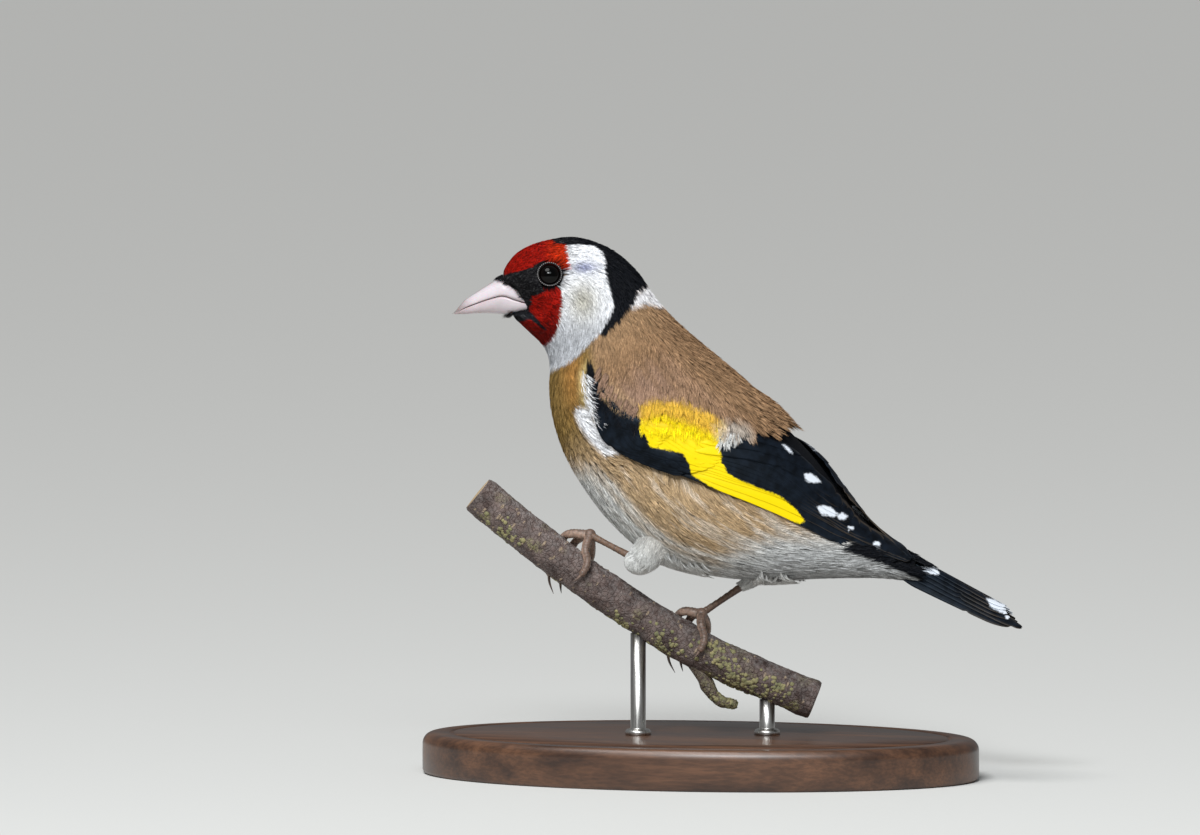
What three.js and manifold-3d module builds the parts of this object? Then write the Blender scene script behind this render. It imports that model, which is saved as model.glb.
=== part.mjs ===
// A European goldfinch at life size, gripping a cut length of branch that a small stand holds up.
// Millimetres, +Z up. The bird faces -X, its left side is at -Y, and the floor is at z = 0.
import * as THREE from 'three';
import { mergeVertices } from 'three/addons/utils/BufferGeometryUtils.js';
import Module from 'manifold-3d';

const wasm = await Module();
wasm.setup();

const DEGREE = Math.PI / 180;
const CLEAR = 0.3; // gap between pieces that touch

// Body stations from the bill to the tail: x and z on the back, x and z on the belly, half width.
const BODY = [
  { back: [-38.8, 96.9], belly: [-37.1, 91.4], half: 2.6 }, // round the bill
  { back: [-38.4, 99.0], belly: [-36.7, 89.5], half: 5.0 },
  { back: [-35.7, 102.2], belly: [-35.3, 88.1], half: 7.2 }, // forehead and chin
  { back: [-30.6, 104.3], belly: [-33.4, 86.3], half: 8.6 },
  { back: [-24.2, 104.9], belly: [-31.4, 84.4], half: 9.4 }, // crown and throat
  { back: [-17.6, 102.5], belly: [-30.1, 82.2], half: 9.7 },
  { back: [-12.7, 98.3], belly: [-29.6, 79.2], half: 9.9 }, // nape
  { back: [-9.0, 93.1], belly: [-29.7, 74.7], half: 11.2 },
  { back: [-4.6, 88.5], belly: [-28.7, 68.8], half: 13.2 }, // bend of the wings
  { back: [1.6, 83.3], belly: [-26.3, 62.2], half: 15.0 },
  { back: [9.0, 77.3], belly: [-22.3, 55.6], half: 16.2 }, // fullest part of the breast
  { back: [16.9, 69.6], belly: [-16.5, 48.6], half: 16.4 },
  { back: [23.1, 63.1], belly: [-9.0, 42.7], half: 15.4 }, // belly
  { back: [28.1, 56.7], belly: [0.6, 39.7], half: 13.2 },
  { back: [33.1, 50.9], belly: [12.4, 38.5], half: 10.4 }, // vent
  { back: [37.6, 47.2], belly: [24.3, 39.1], half: 7.6 },
  { back: [40.8, 45.2], belly: [34.9, 39.4], half: 5.9 },
  { back: [43.4, 43.6], belly: [41.5, 39.0], half: 5.0 }, // root of the tail
];
const LAST = BODY.length - 1;
const KEEL = 0.12; // how much fuller the section is below its middle
const NECK_X = -18.9; // the head turns about a vertical line here
const HEAD_TURN = 12 * DEGREE;
const TURN_FADE = [5, 8]; // stations over which the turn dies away
const BODY_SIDES = 32;
const HEAD_ROWS = 3; // rings for each station in the head
const BODY_ROWS = 2;
const PARTINGS = [5.6, 7.3, 14.5]; // stations where head, neck, torso and rump part

// The wing's rails in degrees from the back's midline, at equal steps of stations.
const RAIL_FROM = 7.7;
const RAIL_STEP = 1.8;
const LEFT_WING = {
  outer: [98, 110.5, 84.5, 67, 64, 62],
  inner: [92, 82, 27, 14, 8, 42],
};
const RIGHT_WING = {
  outer: [-98, -110.5, -84.5, -67, -45, 30],
  inner: [-92, -82, -27, 14, 8, 42],
};
const MANTLE_EDGE = [92, 82, 27, -30, -60, -60];
const BED_DEPTH = 1.9; // how far the torso is hollowed under each wing
const BED_TAIL_DEPTH = 0.5;
const BED_FRONT = [7.2, 8.4]; // stations over which the hollow starts
const BED_REAR = [14.5, 16.5]; // and over which it grows shallow
const BED_INNER_RIM = [-6, 5]; // degrees about the mantle's edge over which it slopes
const BED_OUTER_RIM = [-7, 3];
const WING_TOP = 0.35; // the wing's face above the body's outline
const CORE_UNDER = 0.28; // the flesh under the vanes lies this far below their faces
const CORE_DEPTH = 0.13; // and it grows deeper by this much for each station towards the front
const CORE_SHARES = [0.03, 0.98];
const CORE_END = 15.8;
const SEAM_FROM = 11.2; // station where the two wings come together over the back
const SEAM_DEPTH = 0.8; // how deep the parting goes, as a share of the body's half height
const SEAM_RISE = 6;
const SEAM_REACH = 110; // degrees
const SEAM_GAP = 0.55 * CLEAR; // each wing's share of the gap at the seam

// Rows of a folded wing's feathers, lowest row first. Root and tip are stations; share is how far
// from the outer rail to the inner rail the first and the last shaft of the row lie.
const FLIGHT_ROWS = [
  {
    name: 'primaries',
    root: 10.2,
    tips: [16.3, 16.75, 16.6, 15.8, 15.1, 14.6, 14.2],
    share: [0.1, 0.5],
    half: 1.15,
    raise: 0,
    rings: 5,
  },
  {
    name: 'secondaries',
    root: 10.2,
    tips: [13.95, 13.8, 13.65, 13.5],
    share: [0.57, 0.76],
    half: 1.15,
    raise: 0.05,
    rings: 4,
  },
  {
    name: 'tertials',
    root: 10.2,
    tips: [12.75, 12.2, 11.8],
    share: [0.8, 0.94],
    half: 1.5,
    raise: 0.2,
    rings: 4,
  },
];
const COVERT_ROWS = [
  {
    name: 'primary coverts',
    root: 9.1,
    tips: [10.95, 10.8],
    share: [0.1, 0.24],
    half: 1.0,
    raise: 0.2,
    rings: 3,
  },
  {
    name: 'greater coverts',
    root: 9.4,
    tips: [10.8, 10.9, 10.95, 11.0, 10.95, 10.9],
    share: [0.32, 0.94],
    half: 1.3,
    raise: 0.3,
    rings: 3,
  },
  {
    name: 'median coverts',
    root: 8.9,
    tips: [9.95, 10.1, 10.2],
    share: [0.3, 0.88],
    half: 1.5,
    raise: 0.45,
    rings: 3,
  },
  {
    name: 'alula',
    root: 8.5,
    tips: [9.9],
    share: [0.16, 0.16],
    half: 0.9,
    raise: 0.45,
    rings: 3,
  },
  {
    name: 'lesser coverts',
    root: 8.0,
    tips: [9.3, 9.35],
    share: [0.3, 0.75],
    half: 1.4,
    raise: 0.55,
    rings: 3,
  },
];
const VANE = { thick: 0.55, tipThick: 0.3, tilt: 0.22, sunk: 1.2, cols: 1 };

const BILL = {
  tip: [-48.8, 90.0],
  step: 2.5,
  culmen: [0, 2.7, 4.4, 6.0, 7.5, 8.7, 9.6],
  tomium: [0, 1.2, 2.2, 3.1, 3.65, 2.9, 2.3],
  keel: [0, 0, 0.15, 0.15, -0.05, -0.1, 0.4],
  half: [0.12, 1.0, 1.8, 2.5, 3.05, 3.4, 3.7],
  upperFrom: 0.5,
  lowerFrom: 0.9,
  lowerHalf: 0.93, // the lower half's width as a share of the upper one's
  length: 15,
  rings: 8,
};
const NOSTRIL = { along: 10.6, height: 6.1, side: 2.35, radius: 0.38 };

const EYE = { station: 3.35, angle: 71, radius: 2.45, sunk: 1.5 };
const LID = { radius: 2.3, tube: 0.36, proud: 0.05 };

const TAIL = {
  root: [42.3, 43.75],
  slope: 27.5 * DEGREE,
  pairs: 6,
  inside: 5, // how far the quills start inside the rump
  central: 20.6,
  longest: 23.4,
  worn: { pair: 4, side: -1, extra: 2.6 }, // one feather whose neighbours have worn shorter
  rootHalf: 3.4,
  tipHalf: 5.2,
  rootShafts: [0.2, 2.5], // from the middle to the first and the last shaft at the tail's root
  tipShafts: [0.7, 4.1],
  archRoot: 3.1,
  archTip: 1.3,
  vane: 1.6,
  layer: 0.3,
  tipThick: 0.35,
  rings: 4,
};

// The perch's middle line, its left end first.
const PERCH_LINE = [
  [-42.6, -8.0, 55.1],
  [-32.6, -5.9, 46.8],
  [-19.3, -3.1, 36.7],
  [-1.2, 0.8, 25.0],
  [17.0, 4.6, 16.7],
  [21.7, 5.6, 14.8],
];
const PERCH = { radius: 3.85, swell: 0.12, sides: 12, rings: 20 };
const TWIG_LINE = [[-1.5, 0.6, 23.5], [0.9, 1.2, 18.3], [3.2, 1.9, 14.9], [6.6, 2.4, 13.9]];
const TWIG_RADII = [1.8, 1.5, 1.2, 1.0];

// Feet: place of the hub on the perch in mm from its left end, and its height above the middle line.
const FEET = {
  foot_left: { along: 22.3, rise: 7.4 },
  foot_right: { along: 49.8, rise: 6.5 },
};
// Toes: mm along the perch from the hub, degrees round it towards the left side, mm from its middle.
const HIND_TOE = [[0.9, 32, 5.6], [2.4, 48, 5.0], [3.1, 68, 4.95], [3.0, 96, 4.75], [2.3, 124, 4.6]];
const INNER_TOE = [[-3.3, -8, 5.1], [-3.6, -60, 5], [-2.6, -110, 5], [-1, -150, 5.3], [1.2, -176, 6.2]];
const MIDDLE_TOE = [[-1.3, -25, 5.4], [-0.9, -72, 5], [0.3, -118, 5], [1.4, -146, 5], [2.4, -164, 5.5]];
const OUTER_TOE = [[2.0, -18, 5.5], [3.2, -52, 5.0], [3.9, -94, 5.0], [4.3, -122, 4.9], [4.6, -140, 5.2]];
const TOE_RADII = [0.85, 0.78, 0.8, 0.72, 0.5, 0.16];
const HUB_RADIUS = 1.25;

const LEGS = {
  left: {
    thigh: [[-3.6, -8.6, 50.5], [-7.8, -8.4, 46.0], [-10.6, -7.9, 43.6], [-12.9, -7.2, 43.4]],
    thighRadii: [4.6, 4.0, 3.1, 1.3],
    tarsusFrom: [-12.2, -7.4, 43.3],
    tarsusRadii: [0.75, 0.85],
  },
  right: {
    thigh: [[12.0, 6.2, 45.0], [10.8, 5.7, 40.6], [9.2, 5.2, 38.0], [7.1, 4.9, 36.8]],
    thighRadii: [4.0, 2.6, 1.3, 1.0],
    tarsusFrom: [7.6, 5.0, 37.0],
    tarsusRadii: [0.7, 0.75],
  },
};

const BASE = { length: 110, width: 64, height: 8, edge: 2.2, sides: 36 };
const ROD = {
  radius: 1.5,
  sides: 12,
  reach: 45, // the rods are cut from this height down to the perch
  at: { stand_rod_front: [-12.0, -1.55], stand_rod_back: [12.6, 3.7] },
};

const group = new THREE.Group();

function addPiece(name, solid, color, roughness) {
  const material = new THREE.MeshStandardMaterial({ color, roughness, metalness: 0 });
  const piece = new THREE.Mesh(geometryOf(solid), material);
  piece.name = name;
  group.add(piece);
  return piece;
}

// Solids

function geometryOf(solid) {
  const mesh = solid.getMesh();
  const geometry = new THREE.BufferGeometry();
  geometry.setAttribute('position', new THREE.Float32BufferAttribute(mesh.vertProperties, 3));
  geometry.setIndex(Array.from(mesh.triVerts));
  geometry.computeVertexNormals();
  return geometry;
}

function solidOf(geometry) {
  const bare = geometry.clone();
  bare.deleteAttribute('normal');
  bare.deleteAttribute('uv');
  const merged = mergeVertices(bare, 1e-4);
  return new wasm.Manifold(new wasm.Mesh({
    numProp: 3,
    vertProperties: merged.attributes.position.array,
    triVerts: new Uint32Array(merged.index.array),
  }));
}

// A closed geometry from points and triangles, turned the right way out by the sign of its volume.
function closedGeometry(points, faces) {
  let volume = 0;
  for (const [a, b, c] of faces) {
    volume += points[a].dot(new THREE.Vector3().crossVectors(points[b], points[c]));
  }
  const ordered = volume < 0 ? faces.map(([a, b, c]) => [a, c, b]) : faces;
  const geometry = new THREE.BufferGeometry().setFromPoints(points);
  geometry.setIndex(ordered.flat());
  return geometry;
}

// Rings of points joined one to the next, with a fan over each end.
function drum(rings) {
  const around = rings[0].length;
  const middle = (ring) => ring.reduce((sum, p) => sum.add(p), new THREE.Vector3()).divideScalar(around);
  const points = [...rings.flat(), middle(rings[0]), middle(rings.at(-1))];
  const faces = [];
  for (let row = 0; row < rings.length - 1; row += 1) {
    for (let k = 0; k < around; k += 1) {
      const next = (k + 1) % around;
      const a = row * around;
      faces.push([a + k, a + next, a + around + k], [a + next, a + around + next, a + around + k]);
    }
  }
  const start = rings.length * around;
  const lastRing = start - around;
  for (let k = 0; k < around; k += 1) {
    const next = (k + 1) % around;
    faces.push([start, next, k], [start + 1, lastRing + k, lastRing + next]);
  }
  return solidOf(closedGeometry(points, faces));
}

// A plate of two like-split faces: place(across -1 to 1, along 0 to 1, over 0 or 1) gives its points.
function plate(cols, rows, place) {
  const points = [];
  for (const over of [0, 1]) {
    for (let i = 0; i <= rows; i += 1) {
      for (let j = 0; j <= cols; j += 1) points.push(place((2 * j) / cols - 1, i / rows, over));
    }
  }
  const wide = cols + 1;
  const upper = wide * (rows + 1);
  const faces = [];
  for (let i = 0; i < rows; i += 1) {
    for (let j = 0; j < cols; j += 1) {
      const a = i * wide + j;
      const b = a + wide;
      faces.push([a, b, a + 1], [a + 1, b, b + 1]);
      faces.push([upper + a, upper + a + 1, upper + b], [upper + a + 1, upper + b + 1, upper + b]);
    }
  }
  const rim = [];
  for (let j = 0; j < cols; j += 1) rim.push(j);
  for (let i = 0; i < rows; i += 1) rim.push(i * wide + cols);
  for (let j = cols; j > 0; j -= 1) rim.push(rows * wide + j);
  for (let i = rows; i > 0; i -= 1) rim.push(i * wide);
  rim.forEach((p, k) => {
    const q = rim[(k + 1) % rim.length];
    faces.push([p, q, upper + p], [q, upper + q, upper + p]);
  });
  return solidOf(closedGeometry(points, faces));
}

// A round tube along a curve whose radius goes through the given values.
function tube(curve, radii, sides, rings) {
  const frames = curve.computeFrenetFrames(rings, false);
  const radiusAt = track(radii);
  const sections = [];
  for (let i = 0; i <= rings; i += 1) {
    const centre = curve.getPointAt(i / rings);
    sections.push(circle(centre, frames.normals[i], frames.binormals[i], radiusAt(i / rings), sides));
  }
  return drum(sections);
}

function circle(centre, first, second, radius, sides) {
  return Array.from({ length: sides }, (_, k) => {
    const angle = (2 * Math.PI * k) / sides;
    return centre.clone()
      .addScaledVector(first, radius * Math.cos(angle))
      .addScaledVector(second, radius * Math.sin(angle));
  });
}

// A smooth track through equally spaced values, for a place from 0 to 1.
function track(values) {
  const curve = new THREE.SplineCurve(values.map((value, i) => new THREE.Vector2(i, value)));
  return (place) => curve.getPoint(THREE.MathUtils.clamp(place, 0, 1)).y;
}

function lineThrough(points) {
  return new THREE.CatmullRomCurve3(points.map((p) => new THREE.Vector3(...p)), false, 'catmullrom', 0.5);
}

function joined(solids) {
  return solids.reduce((whole, next) => whole.add(next));
}

function largest(solid) {
  return solid.decompose().sort((a, b) => b.volume() - a.volume())[0];
}

// The body's form

const backLine = lineThrough(BODY.map(({ back: [x, z] }) => [x, 0, z]));
const bellyLine = lineThrough(BODY.map(({ belly: [x, z], half }) => [x, half, z]));

function neckTurned(point, station) {
  const still = THREE.MathUtils.smoothstep(station, ...TURN_FADE);
  const angle = HEAD_TURN * (1 - still);
  const x = point.x - NECK_X;
  const y = point.y;
  point.x = NECK_X + x * Math.cos(angle) - y * Math.sin(angle);
  point.y = x * Math.sin(angle) + y * Math.cos(angle);
  return point;
}

// A point on the body at a station and an angle in degrees from the back towards the left side.
function form(station, angle, lift = 0) {
  const place = THREE.MathUtils.clamp(station / LAST, 0, 1);
  const back = backLine.getPoint(place);
  const belly = bellyLine.getPoint(place);
  const half = belly.y;
  const centre = new THREE.Vector3((back.x + belly.x) / 2, 0, (back.z + belly.z) / 2);
  const upward = new THREE.Vector3((back.x - belly.x) / 2, 0, (back.z - belly.z) / 2);
  const swing = Math.cos(angle * DEGREE);
  const reach = swing * (1 + lift / upward.length());
  const point = centre.addScaledVector(upward, reach);
  point.y = -(half + lift) * Math.sin(angle * DEGREE) * (1 - KEEL * swing);
  return neckTurned(point, station);
}

function halfHeight(station) {
  return form(station, 0).distanceTo(form(station, 180)) / 2;
}

function rail(values) {
  const along = track(values);
  const span = RAIL_STEP * (values.length - 1);
  return (station) => along((station - RAIL_FROM) / span);
}

const bedOuter = rail(LEFT_WING.outer);
const bedInner = rail(MANTLE_EDGE);

// How far the torso's face is hollowed where a folded wing lies on it.
function bed(station, angle) {
  const side = Math.abs(angle);
  const { smoothstep } = THREE.MathUtils;
  const inside = smoothstep(side - bedInner(station), ...BED_INNER_RIM);
  const outside = 1 - smoothstep(side - bedOuter(station), ...BED_OUTER_RIM);
  const front = smoothstep(station, ...BED_FRONT);
  const depth = THREE.MathUtils.lerp(BED_DEPTH, BED_TAIL_DEPTH, smoothstep(station, ...BED_REAR));
  return depth * inside * outside * front;
}

function bodyStations() {
  const stations = [];
  for (let i = 0; i < PARTINGS[0] * HEAD_ROWS; i += 1) stations.push(i / HEAD_ROWS);
  const from = Math.ceil(PARTINGS[0] * BODY_ROWS);
  for (let i = from; i <= LAST * BODY_ROWS; i += 1) stations.push(i / BODY_ROWS);
  return stations;
}

// The whole body in one piece, grown by a margin.
function bodyForm(margin) {
  return drum(bodyStations().map((station) => Array.from({ length: BODY_SIDES }, (_, k) => {
    const turn = (360 * k) / BODY_SIDES;
    const angle = turn > 180 ? turn - 360 : turn;
    return form(station, angle, margin - bed(station, angle));
  })));
}

// A thin slab across the body at a station.
function partingSlab(station) {
  const top = form(station, 0);
  const low = form(station, 180);
  const left = form(station, 90);
  const centre = top.clone().add(low).divideScalar(2);
  const up = top.clone().sub(low);
  const sideways = left.clone().sub(form(station, -90));
  const geometry = new THREE.BoxGeometry(up.length() + 3, sideways.length() + 3, CLEAR);
  up.normalize();
  sideways.normalize();
  const across = new THREE.Vector3().crossVectors(up, sideways);
  geometry.applyMatrix4(new THREE.Matrix4().makeBasis(up, sideways, across).setPosition(centre));
  return solidOf(geometry);
}

function partedBody() {
  const whole = PARTINGS.reduce((body, station) => body.subtract(partingSlab(station)), bodyForm(0));
  const pieces = whole.decompose().filter((piece) => piece.volume() > 1);
  return pieces.sort((a, b) => b.boundingBox().max[2] - a.boundingBox().max[2]);
}

// Bill

// How far from the tip a ring lies; a margin carries both ends of the row outwards.
function billStation(from, place, margin) {
  return from + (BILL.length - from + margin) * place - (place === 0 ? margin : 0);
}

function mandible(low, high, margin) {
  const rings = [];
  const halfAt = track(BILL.half);
  const span = BILL.step * (BILL.half.length - 1);
  for (let i = 0; i <= BILL.rings; i += 1) {
    const along = billStation(BILL.upperFrom, i / BILL.rings, margin);
    const floor = low(along / span) - margin;
    const rise = high(along / span) + margin - floor;
    const half = halfAt(along / span) + margin;
    rings.push(mandibleRing(along, floor, rise, half));
  }
  return drum(rings);
}

// A ring with a flat side and a rounded one; a negative rise turns the round side down.
function mandibleRing(along, floor, rise, half) {
  const ring = [];
  for (let k = 0; k <= 8; k += 1) {
    const angle = (Math.PI * k) / 8;
    ring.push(billPoint(along, half * Math.cos(angle), floor + rise * Math.sin(angle) ** 0.8));
  }
  for (const across of [-0.5, 0, 0.5]) ring.push(billPoint(along, half * across, floor));
  return ring;
}

function billPoint(along, across, height) {
  const point = new THREE.Vector3(BILL.tip[0] + along, across, BILL.tip[1] + height);
  return neckTurned(point, 0);
}

function upperMandible(margin) {
  const tomium = track(BILL.tomium);
  return mandible((place) => tomium(place) + CLEAR / 2, track(BILL.culmen), margin);
}

function lowerMandible(margin) {
  const tomium = track(BILL.tomium);
  const keel = track(BILL.keel);
  const mouth = (place) => tomium(place) - CLEAR / 2 + margin;
  const rings = [];
  const halfAt = track(BILL.half);
  const span = BILL.step * (BILL.half.length - 1);
  for (let i = 0; i <= BILL.rings; i += 1) {
    const along = billStation(BILL.lowerFrom, i / BILL.rings, margin);
    const top = mouth(along / span);
    const drop = keel(along / span) - margin - top;
    const half = halfAt(along / span) * BILL.lowerHalf + margin;
    rings.push(mandibleRing(along, top, drop, half));
  }
  return drum(rings);
}

function nostrilPits() {
  return [-1, 1].map((side) => {
    const pit = new THREE.SphereGeometry(NOSTRIL.radius, 8, 6);
    const at = billPoint(NOSTRIL.along, side * NOSTRIL.side, NOSTRIL.height);
    return solidOf(pit.translate(at.x, at.y, at.z));
  });
}

function addBill() {
  const upper = upperMandible(0).subtract(joined(nostrilPits()));
  addPiece('bill_upper', largest(upper), 0xe3d3cc, 0.35);
  addPiece('bill_lower', lowerMandible(0), 0xdccac4, 0.35);
}

// Eyes

function eyePlace(side) {
  const angle = side * EYE.angle;
  const skin = form(EYE.station, angle);
  const outward = form(EYE.station, angle, 1).sub(skin).normalize();
  return { skin, outward, centre: skin.clone().addScaledVector(outward, -EYE.sunk) };
}

function eyeball(side, margin) {
  const { centre } = eyePlace(side);
  const ball = new THREE.SphereGeometry(EYE.radius + margin, 14, 10);
  return solidOf(ball.translate(centre.x, centre.y, centre.z));
}

function lidRing(side) {
  const { skin, outward } = eyePlace(side);
  const ring = new THREE.TorusGeometry(LID.radius, LID.tube, 5, 16);
  const turn = new THREE.Quaternion().setFromUnitVectors(new THREE.Vector3(0, 0, 1), outward);
  const at = skin.addScaledVector(outward, LID.proud);
  ring.applyMatrix4(new THREE.Matrix4().compose(at, turn, new THREE.Vector3(1, 1, 1)));
  return solidOf(ring);
}

function addEyes() {
  addPiece('eye_left', eyeball(1, 0), 0x120c0a, 0.05);
  addPiece('eye_right', eyeball(-1, 0), 0x120c0a, 0.05);
}

function addBody() {
  const [head, neck, torso, rump] = partedBody();
  const bill = upperMandible(CLEAR).add(lowerMandible(CLEAR));
  const withLids = joined([head, lidRing(1), lidRing(-1)]);
  const face = withLids.subtract(bill).subtract(eyeball(1, CLEAR)).subtract(eyeball(-1, CLEAR));
  addPiece('head', largest(face), 0x9c1f14, 0.9);
  addPiece('neck', neck, 0xc9b49a, 0.9);
  addPiece('torso', torso, 0xa98763, 0.9);
  addPiece('rump', largest(rump), 0xcabfb0, 0.9);
}

// Wings

// A block of the space over the body between two rails, from one lift to another.
function shell(inner, outer, from, to, lifts, cols, rows) {
  return plate(cols, rows, (across, along, over) => {
    const station = THREE.MathUtils.lerp(from, to, along);
    const angle = THREE.MathUtils.lerp(inner(station), outer(station), (across + 1) / 2);
    return form(station, angle, lifts(station, over));
  });
}

// A point on a folded wing: station, share of the way from its outer rail to its inner one, lift.
function wingPoint(rails, station, share, lift) {
  const angle = THREE.MathUtils.lerp(rails.outer(station), rails.inner(station), share);
  return form(station, angle, lift);
}

// The distance over the body between a wing's rails.
function wingWidth(rails, station) {
  const steps = 4;
  const at = (i) => wingPoint(rails, station, i / steps, 0);
  let width = 0;
  for (let i = 0; i < steps; i += 1) width += at(i).distanceTo(at(i + 1));
  return width;
}

// Half the width of a vane along its length: narrow at the quill, full, then rounded at the tip.
function vaneHalf(along) {
  const quill = 0.45 + 0.55 * THREE.MathUtils.smoothstep(along, 0, 0.3);
  const point = Math.sqrt(Math.max(0, 1 - ((along - 0.72) / 0.28) ** 2));
  return quill * (along < 0.72 ? 1 : Math.max(point, 0.14));
}

function tapered(along) {
  return THREE.MathUtils.lerp(VANE.thick, VANE.tipThick, THREE.MathUtils.smoothstep(along, 0.7, 1));
}

// One feather of a wing, its outer edge raised over the next and its root sunk into the wing.
function wingVane(rails, row, shaft, tip) {
  return plate(VANE.cols, row.rings, (across, along, over) => {
    const ease = 1 - (1 - along) ** 1.25;
    const station = THREE.MathUtils.lerp(row.root, tip, ease);
    const half = (row.half * vaneHalf(ease)) / wingWidth(rails, station);
    const sink = VANE.sunk * (1 - THREE.MathUtils.smoothstep(ease, 0, 0.45));
    const lift = WING_TOP + row.raise - VANE.tilt * across - sink;
    return wingPoint(rails, station, shaft + across * half, lift - (over ? 0 : tapered(ease)));
  });
}

function rowVanes(rails, row) {
  return row.tips.map((tip, k) => {
    const place = row.tips.length > 1 ? k / (row.tips.length - 1) : 0;
    return wingVane(rails, row, THREE.MathUtils.lerp(...row.share, place), tip);
  });
}

// The flesh and quills under the vanes.
function wingCore(rails) {
  const { lerp } = THREE.MathUtils;
  const shade = (share) => (station) => lerp(rails.outer(station), rails.inner(station), share);
  const under = (station) => -BED_DEPTH - CORE_DEPTH * (LAST - station);
  const lifts = (station, over) => (over ? WING_TOP - CORE_UNDER : under(station));
  return shell(shade(CORE_SHARES[1]), shade(CORE_SHARES[0]), RAIL_FROM, CORE_END, lifts, 4, 9);
}

function featheredWing(wing) {
  const rails = { outer: rail(wing.outer), inner: rail(wing.inner) };
  const vanes = [...FLIGHT_ROWS, ...COVERT_ROWS].flatMap((row) => rowVanes(rails, row));
  return joined([wingCore(rails), ...vanes]);
}

// The space on the far side of the line where the two wings meet, seen from one of them.
function beyondSeam(side) {
  const seam = rail(LEFT_WING.inner);
  const gap = (station) => SEAM_GAP / halfHeight(station) / DEGREE;
  const start = (station) => seam(station) + side * gap(station);
  const end = (station) => seam(station) - side * SEAM_REACH;
  const lifts = (station, over) => (over ? SEAM_RISE : -SEAM_DEPTH * halfHeight(station));
  return shell(start, end, SEAM_FROM, LAST, lifts, 10, 12);
}

function addWings(body) {
  const left = featheredWing(LEFT_WING).subtract(beyondSeam(1)).subtract(body);
  addPiece('wing_left', largest(left), 0x1b1b22, 0.6);
  const right = featheredWing(RIGHT_WING).subtract(beyondSeam(-1)).subtract(body);
  addPiece('wing_right', largest(right), 0x1b1b22, 0.6);
}

// Tail

// A point of the tail: mm along its slope, mm to the side, mm over the arch that its feathers make.
function tailPoint(along, side, over) {
  const { lerp } = THREE.MathUtils;
  const share = along / TAIL.longest;
  const half = lerp(TAIL.rootHalf, TAIL.tipHalf, share);
  const droop = lerp(TAIL.archRoot, TAIL.archTip, share) * (side / half) ** 2;
  const normal = over - droop;
  const x = TAIL.root[0] + along * Math.cos(TAIL.slope) + normal * Math.sin(TAIL.slope);
  const z = TAIL.root[1] - along * Math.sin(TAIL.slope) + normal * Math.cos(TAIL.slope);
  return new THREE.Vector3(x, side, z);
}

// One tail feather; pair 0 lies on top in the middle and pair 5 lowest at the edge.
function tailVane(pair, side) {
  const share = pair / (TAIL.pairs - 1);
  const { lerp } = THREE.MathUtils;
  const extra = pair === TAIL.worn.pair && side === TAIL.worn.side ? TAIL.worn.extra : 0;
  const length = lerp(TAIL.central, TAIL.longest, share) + extra;
  return plate(VANE.cols, TAIL.rings, (across, along, over) => {
    const mm = lerp(-TAIL.inside, length, 1 - (1 - along) ** 1.3);
    const reach = Math.max(0, mm / length);
    const shaft = side * lerp(lerp(...TAIL.rootShafts, share), lerp(...TAIL.tipShafts, share), reach);
    const half = TAIL.vane * (0.6 + 0.4 * reach) * vaneHalf(along);
    const face = -TAIL.layer * pair - (over ? 0 : Math.max(tapered(reach), TAIL.tipThick));
    return tailPoint(mm, shaft + across * half, face);
  });
}

function featheredTail() {
  const pairs = Array.from({ length: TAIL.pairs }, (_, pair) => [tailVane(pair, 1), tailVane(pair, -1)]);
  return joined(pairs.flat());
}

function addTail(body) {
  addPiece('tail', largest(featheredTail().subtract(body)), 0x17171c, 0.6);
}

// Perch, legs and feet

const perchLine = lineThrough(PERCH_LINE);
const PERCH_LENGTH = perchLine.getLength();
const TOWARDS_LEFT = new THREE.Vector3(Math.sin(HEAD_TURN), -Math.cos(HEAD_TURN), 0);

// A point by the perch: mm from its left end, degrees round it from its top, mm from its middle.
function byPerch(along, angle, away) {
  const place = along / PERCH_LENGTH;
  const tangent = perchLine.getTangentAt(place);
  const up = new THREE.Vector3().crossVectors(tangent, TOWARDS_LEFT).normalize();
  if (up.z < 0) up.negate();
  const near = new THREE.Vector3().crossVectors(up, tangent).normalize();
  if (near.y > 0) near.negate();
  return perchLine.getPointAt(place)
    .addScaledVector(up, away * Math.cos(angle * DEGREE))
    .addScaledVector(near, away * Math.sin(angle * DEGREE));
}

// The bark's radius, swollen a little at its buds.
function barkRadius(along) {
  const swell = Math.sin(along * 0.42 + 0.6) * 0.6 + Math.sin(along * 0.17) * 0.4;
  return PERCH.radius * (1 + 0.03 * swell) + PERCH.swell * Math.exp(-(((along - 50) / 4) ** 2));
}

function perchSolid(margin) {
  const rings = [];
  for (let i = 0; i <= PERCH.rings; i += 1) {
    const along = (PERCH_LENGTH * i) / PERCH.rings;
    const reach = barkRadius(along) + margin;
    const at = (_, k) => byPerch(along, (360 * k) / PERCH.sides, reach);
    rings.push(Array.from({ length: PERCH.sides }, at));
  }
  return drum(rings);
}

function addPerch() {
  const twig = tube(lineThrough(TWIG_LINE), TWIG_RADII, 6, 6);
  addPiece('perch', largest(perchSolid(0).add(twig)), 0x6b5348, 0.9);
}

function toe(hub, route) {
  const points = route.map(([along, angle, away]) => byPerch(hub.along + along, angle, away));
  const start = byPerch(hub.along, 5, hub.rise);
  const curve = new THREE.CatmullRomCurve3([start, ...points], false, 'centripetal');
  return tube(curve, TOE_RADII, 6, 10);
}

function footSolid(name) {
  const hub = FEET[name];
  const at = byPerch(hub.along, 5, hub.rise);
  const ball = new THREE.SphereGeometry(HUB_RADIUS, 8, 6).translate(at.x, at.y, at.z);
  const toes = [HIND_TOE, INNER_TOE, MIDDLE_TOE, OUTER_TOE].map((route) => toe(hub, route));
  return joined([solidOf(ball), ...toes]);
}

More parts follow.
